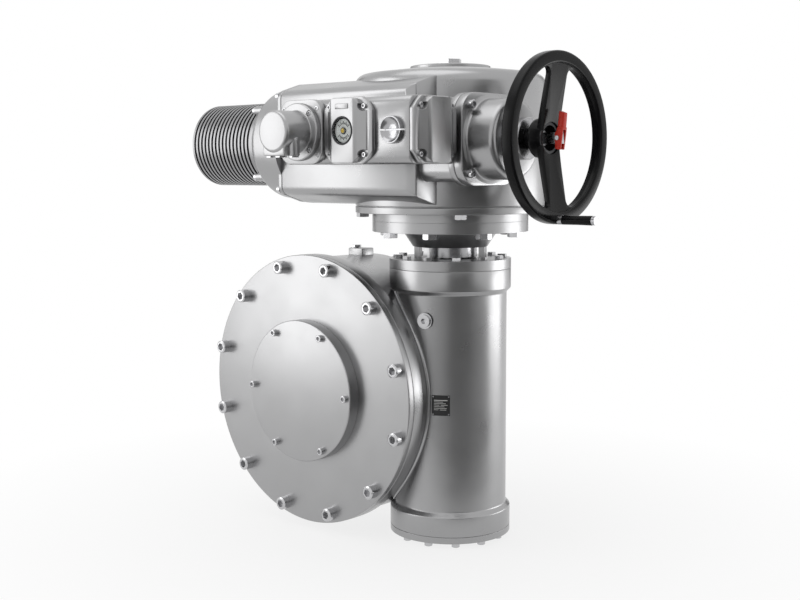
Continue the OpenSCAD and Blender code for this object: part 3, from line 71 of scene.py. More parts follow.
# The object's middle on the floor, and strength of the world for rays that only light
MIDDLE = Vector((0.2, -0.2))
FILL_LIGHT = 0.4


def place_camera():
    """Camera at the photograph's angle, which looks down a little and is rolled a little."""
    heading, down, roll = (math.radians(v) for v in (CAMERA_HEADING, CAMERA_DOWN, CAMERA_ROLL))
    ahead = Vector((-math.sin(heading) * math.cos(down), math.cos(heading) * math.cos(down),
                    -math.sin(down)))
    right = Vector((math.cos(heading), math.sin(heading), 0))
    up = right.cross(ahead)
    right_rolled = right * math.cos(roll) + up * math.sin(roll)
    up_rolled = up * math.cos(roll) - right * math.sin(roll)
    data = bpy.data.cameras.new("camera")
    data.sensor_width = SENSOR_MM
    data.lens = FOCAL_PX * SENSOR_MM / PHOTO_PX
    data.clip_start, data.clip_end = 0.05, 30
    camera = bpy.data.objects.new("camera", data)
    bpy.context.scene.collection.objects.link(camera)
    turn = Matrix((right_rolled, up_rolled, -ahead)).transposed()
    camera.matrix_world = Matrix.Translation(CAMERA_PLACE) @ turn.to_4x4()
    bpy.context.scene.camera = camera


def soft_box(name, place, aim, width, height, power):
    """Large area lamp that faces a point of the object."""
    data = bpy.data.lights.new(name, "AREA")
    data.shape = "RECTANGLE"
    data.size, data.size_y = width, height
    data.energy = power
    lamp = bpy.data.objects.new(name, data)
    bpy.context.scene.collection.objects.link(lamp)
    lamp.location = place
    lamp.rotation_euler = (Vector(aim) - Vector(place)).to_track_quat("-Z", "Y").to_euler()


def white_rays(nt):
    """Output that is 1 for camera, glossy and see-through rays, which meet a plain white."""
    path = nt.nodes.new("ShaderNodeLightPath")
    seen = path.outputs["Is Camera Ray"]
    for ray in ("Is Glossy Ray", "Is Transmission Ray"):
        most = nt.nodes.new("ShaderNodeMath")
        most.operation = "MAXIMUM"
        nt.links.new(seen, most.inputs[0])
        nt.links.new(path.outputs[ray], most.inputs[1])
        seen = most.outputs[0]
    return seen


def floor_finish():
    """Pale floor that keeps a soft shadow near the object and is plain white further out."""
    mat = bpy.data.materials.new("floor_pale")
    mat.use_nodes = True
    nt = mat.node_tree
    new, link = nt.nodes.new, nt.links.new
    shader = nt.nodes["Principled BSDF"]
    shader.inputs["Base Color"].default_value = (0.93, 0.93, 0.93, 1)
    shader.inputs["Roughness"].default_value = 0.8
    white = new("ShaderNodeEmission")
    place = new("ShaderNodeTexCoord")
    reach = new("ShaderNodeVectorMath")
    reach.operation = "LENGTH"
    link(place.outputs["Object"], reach.inputs[0])
    fade = new("ShaderNodeMapRange")
    fade.inputs["From Min"].default_value = 0.25
    fade.inputs["From Max"].default_value = 1.3
    fade.inputs["To Min"].default_value = 0.8
    fade.inputs["To Max"].default_value = 1.0
    link(reach.outputs["Value"], fade.inputs["Value"])
    share = new("ShaderNodeMath")
    share.operation = "MULTIPLY"
    link(white_rays(nt), share.inputs[0])
    link(fade.outputs["Result"], share.inputs[1])
    mix = new("ShaderNodeMixShader")
    link(share.outputs[0], mix.inputs["Fac"])
    link(shader.outputs[0], mix.inputs[1])
    link(white.outputs[0], mix.inputs[2])
    link(mix.outputs[0], nt.nodes["Material Output"].inputs["Surface"])
    return mat


def make_world():
    """White for camera, glossy and see-through rays, and a softer fill for the rest."""
    world = bpy.data.worlds.new("studio")
    bpy.context.scene.world = world
    world.use_nodes = True
    wt = world.node_tree
    new, link = wt.nodes.new, wt.links.new
    back = wt.nodes["Background"]
    back.inputs["Color"].default_value = (1, 1, 1, 1)
    mix = new("ShaderNodeMix")
    mix.data_type = "FLOAT"
    mix.inputs[2].default_value = FILL_LIGHT
    mix.inputs[3].default_value = 1.0
    link(white_rays(wt), mix.inputs[0])
    link(mix.outputs[0], back.inputs["Strength"])


def card(name, heading, distance, size, place_z, flat, shade):
    """Studio card that only reflections show; heading counts to the right from the camera's side."""
    turn = math.radians(heading)
    way = TO_CAMERA * math.cos(turn) + TO_RIGHT * math.sin(turn)
    place = MIDDLE + way * distance
    bpy.ops.object.select_all(action="DESELECT")
    bpy.ops.mesh.primitive_plane_add(size=1, location=(0, 0, 0))
    piece = bpy.context.object
    piece.name = name
    piece.scale = (*size, 1)
    towards = Vector((-way.x, -way.y, 0)).to_track_quat("Z", "Y")
    piece.rotation_euler = (0, 0, math.atan2(way.y, way.x) - math.pi / 2) if flat else towards.to_euler()
    piece.location = (place.x, place.y, place_z)
    mat = bpy.data.materials.new(name)
    mat.use_nodes = True
    nt = mat.node_tree
    shader = nt.nodes["Principled BSDF"]
    shader.inputs["Base Color"].default_value = (shade, shade, shade, 1)
    shader.inputs["Roughness"].default_value = 0.9
    shader.inputs["Specular IOR Level"].default_value = 0.1
    clear_part = nt.nodes.new("ShaderNodeBsdfTransparent")
    path = nt.nodes.new("ShaderNodeLightPath")
    mix = nt.nodes.new("ShaderNodeMixShader")
    nt.links.new(path.outputs["Is Glossy Ray"], mix.inputs["Fac"])
    nt.links.new(clear_part.outputs[0], mix.inputs[1])
    nt.links.new(shader.outputs[0], mix.inputs[2])
    nt.links.new(mix.outputs[0], nt.nodes["Material Output"].inputs["Surface"])
    piece.data.materials.append(mat)


def make_stage():
    """Pale floor, white world, soft lamps left, right and above, and grey cards to reflect."""
    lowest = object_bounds()[0][2]
    bpy.ops.object.select_all(action="DESELECT")
    bpy.ops.mesh.primitive_plane_add(size=60, location=(0, 0, 0))
    floor = bpy.context.object
    floor.name = "floor"
    floor.location = (0.15, -0.2, lowest - 0.0005)
    floor.data.materials.append(floor_finish())
    bpy.context.scene.view_settings.view_transform = "Standard"
    make_world()
    aim = (0.2, -0.25, 0.25)
    soft_box("lamp_left", (-2.0, -2.5, 0.9), aim, 1.9, 2.8, 31)
    soft_box("lamp_right", (1.75, 1.65, 0.05), (0.2, -0.2, -0.1), 1.5, 0.7, 10)
    soft_box("lamp_top", (0.1, -0.9, 3.0), aim, 2.4, 2.0, 16)
    card("card_floor", 24, 2.9, (4.4, 4.6), lowest + 0.002, True, 0.42)
    card("card_camera", 18, 4.8, (4.4, 1.6), 0.4, False, 0.3)
    card("card_back", 150, 5.6, (0.9, 3.4), 1.3, False, 0.03)
    card("card_back_left", -150, 5.6, (0.9, 3.4), 1.3, False, 0.03)


# ---------- finishes ----------

def new_group(name, outputs, inputs):
    """Empty shader node group with named inputs (with defaults) and outputs."""
    group = bpy.data.node_groups.new(name, "ShaderNodeTree")
    for socket, kind in outputs:
        group.interface.new_socket(socket, in_out="OUTPUT", socket_type=kind)
    for socket, kind, value in inputs:
        item = group.interface.new_socket(socket, in_out="INPUT", socket_type=kind)
        item.default_value = value
    return group, group.nodes.new("NodeGroupInput"), group.nodes.new("NodeGroupOutput")


def cast_group():
    """Grain, soft waviness and faint stains of a blasted and varnished metal surface."""
    group, given, out = new_group(
        "cast_surface",
        [("Colour", "NodeSocketColor"), ("Roughness", "NodeSocketFloat"), ("Height", "NodeSocketFloat")],
        [("Tint", "NodeSocketColor", (0.5, 0.5, 0.5, 1)), ("Base Roughness", "NodeSocketFloat", 0.4),
         ("Grain Size", "NodeSocketFloat", 900.0), ("Stain", "NodeSocketFloat", 0.08)])
    new, link = group.nodes.new, group.links.new
    place = new("ShaderNodeTexCoord")
    grain = new("ShaderNodeTexNoise")
    grain.inputs["Detail"].default_value = 3
    link(place.outputs["Object"], grain.inputs["Vector"])
    link(given.outputs["Grain Size"], grain.inputs["Scale"])
    cloud = new("ShaderNodeTexNoise")
    cloud.inputs["Scale"].default_value = 14
    cloud.inputs["Detail"].default_value = 5
    link(place.outputs["Object"], cloud.inputs["Vector"])
    centred = new("ShaderNodeMath")
    centred.operation = "SUBTRACT"
    link(cloud.outputs["Fac"], centred.inputs[0])
    centred.inputs[1].default_value = 0.5
    stain = new("ShaderNodeMath")
    stain.operation = "MULTIPLY"
    link(centred.outputs[0], stain.inputs[0])
    link(given.outputs["Stain"], stain.inputs[1])
    level = new("ShaderNodeMath")
    level.inputs[1].default_value = 1.0
    link(stain.outputs[0], level.inputs[0])
    shade = new("ShaderNodeVectorMath")
    shade.operation = "SCALE"
    link(given.outputs["Tint"], shade.inputs[0])
    link(level.outputs[0], shade.inputs["Scale"])
    link(shade.outputs[0], out.inputs["Colour"])
    rough = new("ShaderNodeMath")
    rough.operation = "MULTIPLY_ADD"
    link(centred.outputs[0], rough.inputs[0])
    rough.inputs[1].default_value = 0.18
    link(given.outputs["Base Roughness"], rough.inputs[2])
    link(rough.outputs[0], out.inputs["Roughness"])
    link(grain.outputs["Fac"], out.inputs["Height"])
    return group


CAST_SURFACE = cast_group()


def finish(name, tint, roughness, metallic, grain=900.0, stain=0.1, bump=0.12, edge=0.0012, gloss=0.5):
    """Material with the cast surface group behind colour, roughness and bump.

    The edge is the radius in metres by which sharp edges look rounded.
    """
    mat = bpy.data.materials.new(name)
    mat.use_nodes = True
    nt = mat.node_tree
    shader = nt.nodes["Principled BSDF"]
    group = nt.nodes.new("ShaderNodeGroup")
    group.node_tree = CAST_SURFACE
    group.inputs["Tint"].default_value = (*tint, 1)
    group.inputs["Base Roughness"].default_value = roughness
    group.inputs["Grain Size"].default_value = grain
    group.inputs["Stain"].default_value = stain
    bumps = nt.nodes.new("ShaderNodeBump")
    bumps.inputs["Strength"].default_value = bump
    bumps.inputs["Distance"].default_value = 0.0006
    edges = nt.nodes.new("ShaderNodeBevel")
    edges.samples = 6
    edges.inputs["Radius"].default_value = edge
    nt.links.new(edges.outputs["Normal"], bumps.inputs["Normal"])
    nt.links.new(group.outputs["Height"], bumps.inputs["Height"])
    nt.links.new(bumps.outputs["Normal"], shader.inputs["Normal"])
    nt.links.new(group.outputs["Colour"], shader.inputs["Base Color"])
    nt.links.new(group.outputs["Roughness"], shader.inputs["Roughness"])
    shader.inputs["Metallic"].default_value = metallic
    shader.inputs["Specular IOR Level"].default_value = gloss
    return mat


FINISHES = {
    "cast": finish("cast_silver", (0.36, 0.36, 0.364), 0.3, 1.0, 1100.0, 0.1, 0.05, edge=0.0012),
    "cast_fine": finish("fine_cast_silver", (0.38, 0.38, 0.384), 0.33, 1.0, 1500.0, 0.08, 0.04, edge=0.0008),
    "bright_steel": finish("bright_steel", (0.52, 0.52, 0.53), 0.2, 1.0, 2500.0, 0.05, 0.04, edge=0.0005),
    "machined": finish("turned_steel", (0.4, 0.4, 0.41), 0.26, 1.0, 2500.0, 0.05, 0.04, edge=0.0006),
    "steel": finish("ground_steel", (0.3, 0.3, 0.31), 0.28, 1.0, 2500.0, 0.08, 0.04, edge=0.0006),
    "bronze": finish("bronze", (0.5, 0.32, 0.12), 0.3, 1.0, 1500.0),
    "seal_rubber": finish("seal_rubber", (0.02, 0.02, 0.02), 0.7, 0.0, 1800.0),
    "black_gloss": finish("black_gloss", (0.005, 0.005, 0.0055), 0.25, 0.0, 2500.0, 0.3, 0.02,
                          edge=0.0008, gloss=0.12),
    "motor_paint": finish("motor_paint", (0.3, 0.3, 0.305), 0.34, 1.0, edge=0.0006),
    "red": finish("red_coating", (0.62, 0.03, 0.014), 0.38, 0.0, 1800.0, 0.1, 0.05, edge=0.0006, gloss=0.3),
    "plate_black": finish("plate_black", (0.02, 0.02, 0.021), 0.4, 0.0, 1800.0, edge=0.0004),
    "dark_ring": finish("dark_ring", (0.03, 0.03, 0.032), 0.3, 0.8, 1800.0, edge=0.0005),
    "dial_white": finish("dial_white", (0.8, 0.8, 0.78), 0.5, 0.0, 1800.0, 0.02, 0.02, edge=0.0004),
    "yellow": finish("yellow_paint", (0.75, 0.5, 0.02), 0.4, 0.0, 1800.0, 0.05, 0.02, edge=0.0004),
    "winding": finish("winding", (0.3, 0.1, 0.04), 0.5, 0.3, 1200.0),
    "rotor_iron": finish("rotor_iron", (0.2, 0.2, 0.21), 0.5, 0.9, 1500.0),
}


def glass_finish():
    """Clear window: what is behind shows through, and the studio is reflected by angle."""
    mat = bpy.data.materials.new("window_clear")
    mat.use_nodes = True
    nt = mat.node_tree
    new, link = nt.nodes.new, nt.links.new
    nt.nodes.remove(nt.nodes["Principled BSDF"])
    place = new("ShaderNodeTexCoord")
    cloud = new("ShaderNodeTexNoise")
    cloud.inputs["Scale"].default_value = 60
    link(place.outputs["Object"], cloud.inputs["Vector"])
    haze = new("ShaderNodeMapRange")
    haze.inputs["To Min"].default_value = 0.01
    haze.inputs["To Max"].default_value = 0.06
    link(cloud.outputs["Fac"], haze.inputs["Value"])
    through = new("ShaderNodeBsdfTransparent")
    through.inputs["Color"].default_value = (0.96, 0.97, 0.97, 1)
    shine = new("ShaderNodeBsdfGlossy")
    link(haze.outputs["Result"], shine.inputs["Roughness"])
    facing = new("ShaderNodeLayerWeight")
    angle = new("ShaderNodeMath")
    angle.operation = "POWER"
    angle.inputs[1].default_value = 4.0
    link(facing.outputs["Facing"], angle.inputs[0])
    mix = new("ShaderNodeMixShader")
    link(angle.outputs[0], mix.inputs["Fac"])
    link(through.outputs[0], mix.inputs[1])
    link(shine.outputs[0], mix.inputs[2])
    link(mix.outputs[0], nt.nodes["Material Output"].inputs["Surface"])
    return mat


FINISHES["window"] = glass_finish()
SLOTS = {entry["node"]: entry["material_slot"] for entry in frame["record"]["subparts"]}


def dress_nodes():
    """Gives every node of the CAD the finish of its slot; the hub's ring is darker."""
    for node, thing in NODES.items():
        material = FINISHES["dark_ring" if node == "hub_ring" else SLOTS[node]]
        if not thing.material_slots:
            thing.data.materials.append(material)
        for slot in thing.material_slots:
            slot.material = material


dress_nodes()


# ---------- modelling helpers ----------

def clear():
    """Leave edit mode and deselect everything."""
    if bpy.context.mode != "OBJECT":
        bpy.ops.object.mode_set(mode="OBJECT")
    bpy.ops.object.select_all(action="DESELECT")


def pick(piece):
    """Select this piece alone and make it the active one."""
    clear()
    piece.select_set(True)
    bpy.context.view_layer.objects.active = piece


def rounded(points, radii, steps=4):
    """Outline with round corners: one radius for each point, 0 keeps a corner sharp."""
    out = []
    for i, (point, r) in enumerate(zip(points, radii)):
        corner = Vector(point)
        if not r:
            out.append(tuple(corner))
            continue
        one = (Vector(points[i - 1]) - corner).normalized()
        two = (Vector(points[(i + 1) % len(points)]) - corner).normalized()
        half = one.angle(two) / 2
        middle = corner + (one + two).normalized() * (r / math.sin(half))
        start = corner + one * (r / math.tan(half)) - middle
        end = corner + two * (r / math.tan(half)) - middle
        turn = start.angle(end) * (1 if start.cross(end) > 0 else -1)
        out += [tuple(middle + Matrix.Rotation(turn * k / steps, 2) @ start) for k in range(steps + 1)]
    return out


def in_space(plane, u, v, depth):
    """Millimetres on a plane across an axis, as a point in metres."""
    places = {"X": (depth, u, v), "Y": (u, depth, v), "Z": (u, v, depth)}
    return Vector(places[plane]) * MM


def draw(name, points, closed):
    """Draws a line through points by extruding a vertex, and stays in edit mode."""
    clear()
    bpy.ops.mesh.primitive_plane_add(size=0.01, location=points[0])
    piece = bpy.context.object
    piece.name = piece.data.name = name
    bpy.ops.object.transform_apply(location=True, rotation=True, scale=True)
    bpy.ops.object.mode_set(mode="EDIT")
    bpy.ops.mesh.select_mode(type="VERT")
    bpy.ops.mesh.select_all(action="SELECT")
    bpy.ops.mesh.merge(type="CENTER")
    for here, there in zip(points, points[1:]):
        bpy.ops.mesh.extrude_region_move(TRANSFORM_OT_translate={"value": there - here})
    if closed:
        bpy.ops.mesh.extrude_region_move(TRANSFORM_OT_translate={"value": points[0] - points[-1]})
    bpy.ops.mesh.select_all(action="SELECT")
    bpy.ops.mesh.remove_doubles(threshold=0.000002)
    return piece


def tidy_mesh():
    """Merges doubles and turns all faces outwards, then leaves edit mode."""
    bpy.ops.mesh.select_all(action="SELECT")
    bpy.ops.mesh.remove_doubles(threshold=0.000002)
    bpy.ops.mesh.normals_make_consistent(inside=False)
    bpy.ops.object.mode_set(mode="OBJECT")


def prism(name, plane, outline, low, high):
    """Solid with this outline across an axis, between two places along it."""
    piece = draw(name, [in_space(plane, u, v, low) for u, v in outline], True)
    bpy.ops.mesh.edge_face_add()
    bpy.ops.mesh.extrude_region_move(TRANSFORM_OT_translate={"value": in_space(plane, 0, 0, high - low)})
    tidy_mesh()
    return piece


def turned(name, plane, centre, profile, closed=False, steps=96):
    """Solid turned round an axis from a profile of (radius, place along the axis)."""
    u, v = centre
    piece = draw(name, [in_space(plane, u + r, v, h) for r, h in profile], closed)
    bpy.ops.mesh.spin(steps=steps, angle=math.tau, center=in_space(plane, u, v, 0),
                      axis=in_space(plane, 0, 0, 1).normalized())
    tidy_mesh()
    return piece


def rod(name, plane, centre, radius, low, high, steps=96):
    """Cylinder along an axis, between two places along it."""
    return turned(name, plane, centre, [(0, low), (radius, low), (radius, high), (0, high)], steps=steps)


def block(name, low, high):
    """Box between two corners in millimetres."""
    clear()
    low, high = Vector(low) * MM, Vector(high) * MM
    bpy.ops.mesh.primitive_cube_add(size=1, location=(low + high) / 2, scale=high - low)
    piece = bpy.context.object
    piece.name = piece.data.name = name
    bpy.ops.object.transform_apply(location=True, rotation=True, scale=True)
    return piece


def combine(piece, tools, operation):
    """Joins solids to a piece, or cuts them out of it, and deletes them."""
    for tool in tools:
        pick(piece)
        step = piece.modifiers.new("step", "BOOLEAN")
        step.object, step.operation, step.solver = tool, operation, "MANIFOLD"
        bpy.ops.object.modifier_apply(modifier=step.name)
        bpy.data.objects.remove(tool)
    return piece


def join(piece, *tools):
    """Adds solids to a piece."""
    return combine(piece, tools, "UNION")


def cut(piece, *tools):
    """Cuts solids out of a piece."""
    return combine(piece, tools, "DIFFERENCE")


def soften(piece, width, segments=2, angle=30):
    """Rounds the edges sharper than an angle."""
    pick(piece)
    step = piece.modifiers.new("step", "BEVEL")
    step.width, step.segments, step.limit_method = width * MM, segments, "ANGLE"
    step.angle_limit = math.radians(angle)
    step.miter_outer = "MITER_ARC"
    bpy.ops.object.modifier_apply(modifier=step.name)
    return piece


def dress(piece, body, slot, *nodes, smooth=32):
    """Gives a finished piece its finish, its body and the nodes that it stands for."""
    pick(piece)
    bpy.ops.object.shade_smooth_by_angle(angle=math.radians(smooth))
    piece.data.materials.clear()
    piece.data.materials.append(FINISHES[slot])
    if nodes:
        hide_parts(*nodes)
    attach(piece, body)
    clear()
    return piece


def spread(count, radius, first=0.0, centre=(0, 0)):
    """Places on a circle round a centre: those of bolts, or the outline of a hole."""
    return [(centre[0] + radius * math.cos(math.radians(first) + math.tau * i / count),
             centre[1] + radius * math.sin(math.radians(first) + math.tau * i / count)) for i in range(count)]


# ---------- places in millimetres, as in the frame ----------

# Axes: the column in (X, Y), the drive line in (Y, Z)
COLUMN = (264, -140)
DRIVE = (-290, 563)
# Wheel case and column: radii of walls and end rings
VALVE_RING_R, CASE_R, CASE_RING_R = 237.5, 302, 311
COLUMN_R, COLUMN_RING_R = 127.5, 137
# Drive line: ends along X, and the half side of the square flanges
CASING_ENDS = (-12, 374)
NECK_END, BONNET_RING_END, BONNET_END = 468, 488, 555
FLANGE_HALF, FLANGE_CORNER = 93, 46
# Controls: middle line, faces, and places of what they carry
CONTROL_Z = 579
CONTROL_FRONT = -526
CONTROL_MIDDLE_Y = -461
CONTROL_ENDS = (133, 476)
DISPLAY_X, PLUG_X, SIDE_PLUG_X = 325, 198, 435
DIAL = (DISPLAY_X, CONTROL_Z)
# Holes for the shanks of small screws, and the narrow gap at a joint face
SMALL_HOLE_R, BONNET_HOLE_R = 3.1, 6.1
JOINT_GAP = 0.3


# ---------- gearbox ----------

def gear_housing():
    """Wheel case with a flange ring, the worm's column beside it, and the pad on top."""
    body = turned("gear_housing_cast", "Y", (0, 0), rounded(
        [(0, 0), (VALVE_RING_R, 0), (VALVE_RING_R, -44), (CASE_R, -102), (CASE_R, -288), (CASE_RING_R, -288),
         (CASE_RING_R, -321), (0, -321)],
        [0, 2, 8, 14, 3, 4.5, 0.8, 0]), steps=128)
    column = turned("column", "Z", COLUMN, rounded(
        [(0, -303), (COLUMN_RING_R, -303), (COLUMN_RING_R, -259), (COLUMN_R, -250), (COLUMN_R, 231),
         (COLUMN_RING_R, 240), (COLUMN_RING_R, 284), (0, 284)],
        [0, 1.5, 4, 6, 6, 4, 1.5, 0]), steps=112)
    pad = soften(block("pad", (-22.5, -172, 277), (22.5, -131, 318)), 2.5)
    join(body, column, pad)
    bore = turned("bore", "Y", (0, 0), [(0, 5), (150, 5), (150, -6), (116, -6), (116, -36), (112.5, -36),
                                        (112.5, -330), (0, -330)])
    holes = [prism("hole", "Y", spread(32, 16, centre=place), -54, 5) for place in spread(8, 203, 22.5)]
    cut(body, bore, *holes)
    dress(body, "housing", "cast", "gear_housing", smooth=25)


def case_fillet():
    """Rounded bead where the column leaves the front of the wheel case."""
    points = []
    for step in range(-30, 31):
        z = 8.1 * step
        x = math.sqrt(CASE_R ** 2 - z ** 2)
        y = COLUMN[1] - math.sqrt(COLUMN_R ** 2 - (x - COLUMN[0]) ** 2)
        points.append(Vector((x, y, z)) * MM)
    draw("case_fillet", points, False)
    bpy.ops.object.mode_set(mode="OBJECT")
    bpy.ops.object.convert(target="CURVE")
    curve = bpy.context.object.data
    curve.bevel_depth = 5.5 * MM
    curve.bevel_resolution = 5
    curve.use_fill_caps = True
    bpy.ops.object.convert(target="MESH")
    bead = bpy.context.object
    bpy.ops.object.mode_set(mode="EDIT")
    tidy_mesh()
    dress(bead, "housing", "cast")


def front_cover():
    """Large round cover with its bore, and the small cap on it."""
    disc = turned("front_cover_disc", "Y", (0, 0), rounded(
        [(0, -321.3), (310.6, -321.3), (310.6, -337), (0, -337)], [0, 0.6, 2.2, 0]), steps=128)
    cut(disc, rod("bore", "Y", (0, 0), 116, -300, -340))
    cap = turned("end_cap_disc", "Y", (0, 0), rounded(
        [(0, -337.2), (162.5, -337.2), (162.5, -365), (0, -365)], [0, 0.5, 2.6, 0]), steps=112)
    dress(disc, "housing", "cast_fine", "front_cover")
    dress(cap, "housing", "cast_fine", "end_cap")


# ---------- handwheel ----------

def window_outline(side):
    """D-shaped window between spokes and rim, in (Y, Z) from the wheel's axis."""
    reach, edge, corner = 142.0, 28, 15
    across = edge + corner
    up = math.sqrt((reach - corner) ** 2 - across ** 2)
    turn = math.atan2(up, across)
    points = [(reach * math.cos(a), reach * math.sin(a))
              for a in (turn * (2 * k / 24 - 1) for k in range(25))]
    points += [(across + corner * math.cos(a), up + corner * math.sin(a))
               for a in (turn + (math.pi - turn) * k / 6 for k in range(1, 7))]
    points += [(across + corner * math.cos(a), corner * math.sin(a) - up)
               for a in (math.pi + (math.pi - turn) * k / 6 for k in range(6))]
    return [(DRIVE[0] + side * y, DRIVE[1] + z) for y, z in points]


def handwheel():
    """Dished web with two windows, which leave two spokes, and the rim and hub joined to it."""
    web = turned("handwheel_black", "X", DRIVE, [(27, 620), (27, 635.1), (156, 657.6), (156, 647.4)],
                 closed=True)
    for side in (1, -1):
        cut(web, prism("window", "X", window_outline(side), 600, 680))
    soften(web, 1.6, 2, 40)
    rim = turned("rim", "X", DRIVE, rounded(
        [(142.5, 636.5), (166.5, 636.5), (166.5, 660.5), (142.5, 660.5)], [4.5] * 4), closed=True, steps=128)
    hub = turned("hub", "X", DRIVE, rounded(
        [(15.1, 585.5), (21, 585.5), (21, 604), (38.5, 605), (38.5, 611), (31, 629.5), (25, 629.5), (25, 618),
         (15.1, 618)], [0, 1, 3, 2.5, 3, 1.5, 0, 0, 0]), closed=True, steps=72)
    hollow = turned("hollow", "X", DRIVE, [(0, 618), (25, 618), (25, 629.5), (31.5, 629.5), (31.5, 670),
                                           (0, 670)], steps=64)
    cut(web, hollow)
    join(web, rim, hub)
    dress(web, "hand_drive", "black_gloss", "handwheel")


def crank_grip():
    """Waisted grip on the crank's pin, which stands a little to the side of the wheel's lowest place."""
    arm, aside = 157.5, math.radians(3)
    place = (DRIVE[0] - arm * math.sin(aside), DRIVE[1] - arm * math.cos(aside))
    grip = turned("crank_grip_black", "X", place, rounded(
        [(4.1, 671.3), (9.25, 671.3), (8.9, 704), (9.25, 737.3), (4.1, 737.3)], [0, 1.5, 0, 1.5, 0]),
        closed=True, steps=48)
    dress(grip, "grip", "black_gloss", "crank_grip")


def lever():
    """Change-over lever: a bar that leans outwards, thinner at its upper end, slotted at its pin."""
    x, (y, z) = 654.5, DRIVE
    half, slot_half = 8, 4.3
    outline = rounded([(-4.5, -21), (7, -23), (11, 8), (14, 46), (13.5, 47.5), (4, 51), (2.5, 50),
                       (-1, 16), (-6, 8)], [2, 2, 8, 1, 1, 1, 1, 6, 3], 3)
    bar = prism("lever_red", "Y", [(x + u, z + v) for u, v in outline], y - half, y + half)
    for side in (-1, 1):
        face = y + side * half
        cut(bar, block("flat", (x - 20, face - 2, z + 20), (x + 40, face + 2, z + 90)))
    soften(bar, 0.9, 2, 40)
    cut(bar, block("slot", (x - 30, y - slot_half, z - 40), (x + 30, y + slot_half, z + 15)),
        prism("hole", "Y", spread(24, SMALL_HOLE_R, centre=(x, z)), y - 20, y + 20))
    dress(bar, "lever", "red", "changeover_lever")


# ---------- actuator ----------

def square(half_u, half_v, corner, centre=(0, 0), steps=6):
    """Rectangle with round corners about a centre."""
    u, v = centre
    return rounded([(u - half_u, v - half_v), (u + half_u, v - half_v), (u + half_u, v + half_v),
                    (u - half_u, v + half_v)], [corner] * 4, steps)


def casing_outline(inset=0.0, corner=22):
    """Outline of the motor casing in (Y, Z), drawn smaller by an inset."""
    quarter = [(106 - inset, 111.5 - inset, corner), (40.3, 131.5 - inset, 14), (0, 135.5 - inset, 30)]
    up = quarter + [(-y, z, r) for y, z, r in quarter[1::-1]]
    ring = up + [(y, -z, r) for y, z, r in up[::-1]]
    return rounded([(DRIVE[0] + y, DRIVE[1] + z) for y, z, r in ring], [r for y, z, r in ring], 5)


def shave(piece, place, normal):
    """Cuts off what stands out in front of a plane and closes the cut."""
    pick(piece)
    bpy.ops.object.mode_set(mode="EDIT")
    bpy.ops.mesh.select_all(action="SELECT")
    bpy.ops.mesh.bisect(plane_co=Vector(place) * MM, plane_no=normal, use_fill=True, clear_outer=True)
    bpy.ops.object.mode_set(mode="OBJECT")


def actuator_housing():
    """Drum with shoulder and dome, the motor's casing across it, and the neck of the hand drive."""
    drum = turned("actuator_housing_cast", "Z", COLUMN, rounded(
        [(0, 408.5), (212.5, 408.5), (212.5, 423), (210, 423.5), (210, 425), (212.5, 425.5), (212.5, 709),
         (89, 724), (0, 724)], [0, 1.2, 1.2, 0, 0, 1.2, 26, 6, 0], 6), steps=128)
    casing = prism("casing", "X", casing_outline(), *CASING_ENDS)
    shave(casing, (352, -396, 563), Vector((9, -22, 0)).normalized())
    soften(casing, 3.5, 3, 40)
    neck = prism("neck", "X", square(85, 85, 24, DRIVE), COLUMN[0], NECK_END)
    flange = soften(prism("flange", "X", square(FLANGE_HALF, FLANGE_HALF, FLANGE_CORNER, DRIVE, 10),
                          NECK_END - 14, NECK_END), 1.2)
    join(drum, casing, neck, flange)
    room = turned("room", "Z", COLUMN, [(0, 452), (196.5, 452), (196.5, 679), (176.5, 699), (0, 699)])
    inside = prism("inside", "X", casing_outline(16, 8), 4, 358)
    bores = [rod("bore", "X", DRIVE, r, low, high, 64) for r, low, high in ((90, -20, 10), (74, 264, 480))]
    ports = [rod("port", "Z", COLUMN, r, low, high, 64)
             for r, low, high in ((63, 400, 460), (90, 424, 460), (40, 690, 730))]
    cut(drum, room, inside, *bores, *ports)
    dress(drum, "housing", "cast", "actuator_housing", smooth=28)


def motor_bell():
    """Bell between casing and motor, with its flange, four bosses and the seat of the bearing."""
    bell = turned("motor_bell_cast", "X", DRIVE, rounded(
        [(0, -120.75), (96.5, -120.75), (125, -87), (127, -13), (0, -13)], [0, 2, 16, 0, 0]))
    flange = soften(prism("flange", "X", casing_outline(), -24, CASING_ENDS[0] - JOINT_GAP), 2)
    bosses = [prism("boss", "X", spread(24, 10, centre=place), -122.75, -80)
              for place in spread(4, 107, 45, DRIVE)]
    join(bell, flange, *bosses)
    room = turned("room", "X", DRIVE, [(0, -88.75), (91, -88.75), (111, -87), (111, 0), (0, 0)], steps=64)
    seat = turned("seat", "X", DRIVE, [(0, -130), (24, -130), (24, -110.75), (40, -110.75), (40, -80),
                                       (0, -80)], steps=64)
    cut(bell, room, seat)
    dress(bell, "housing", "cast", "motor_bell", smooth=28)


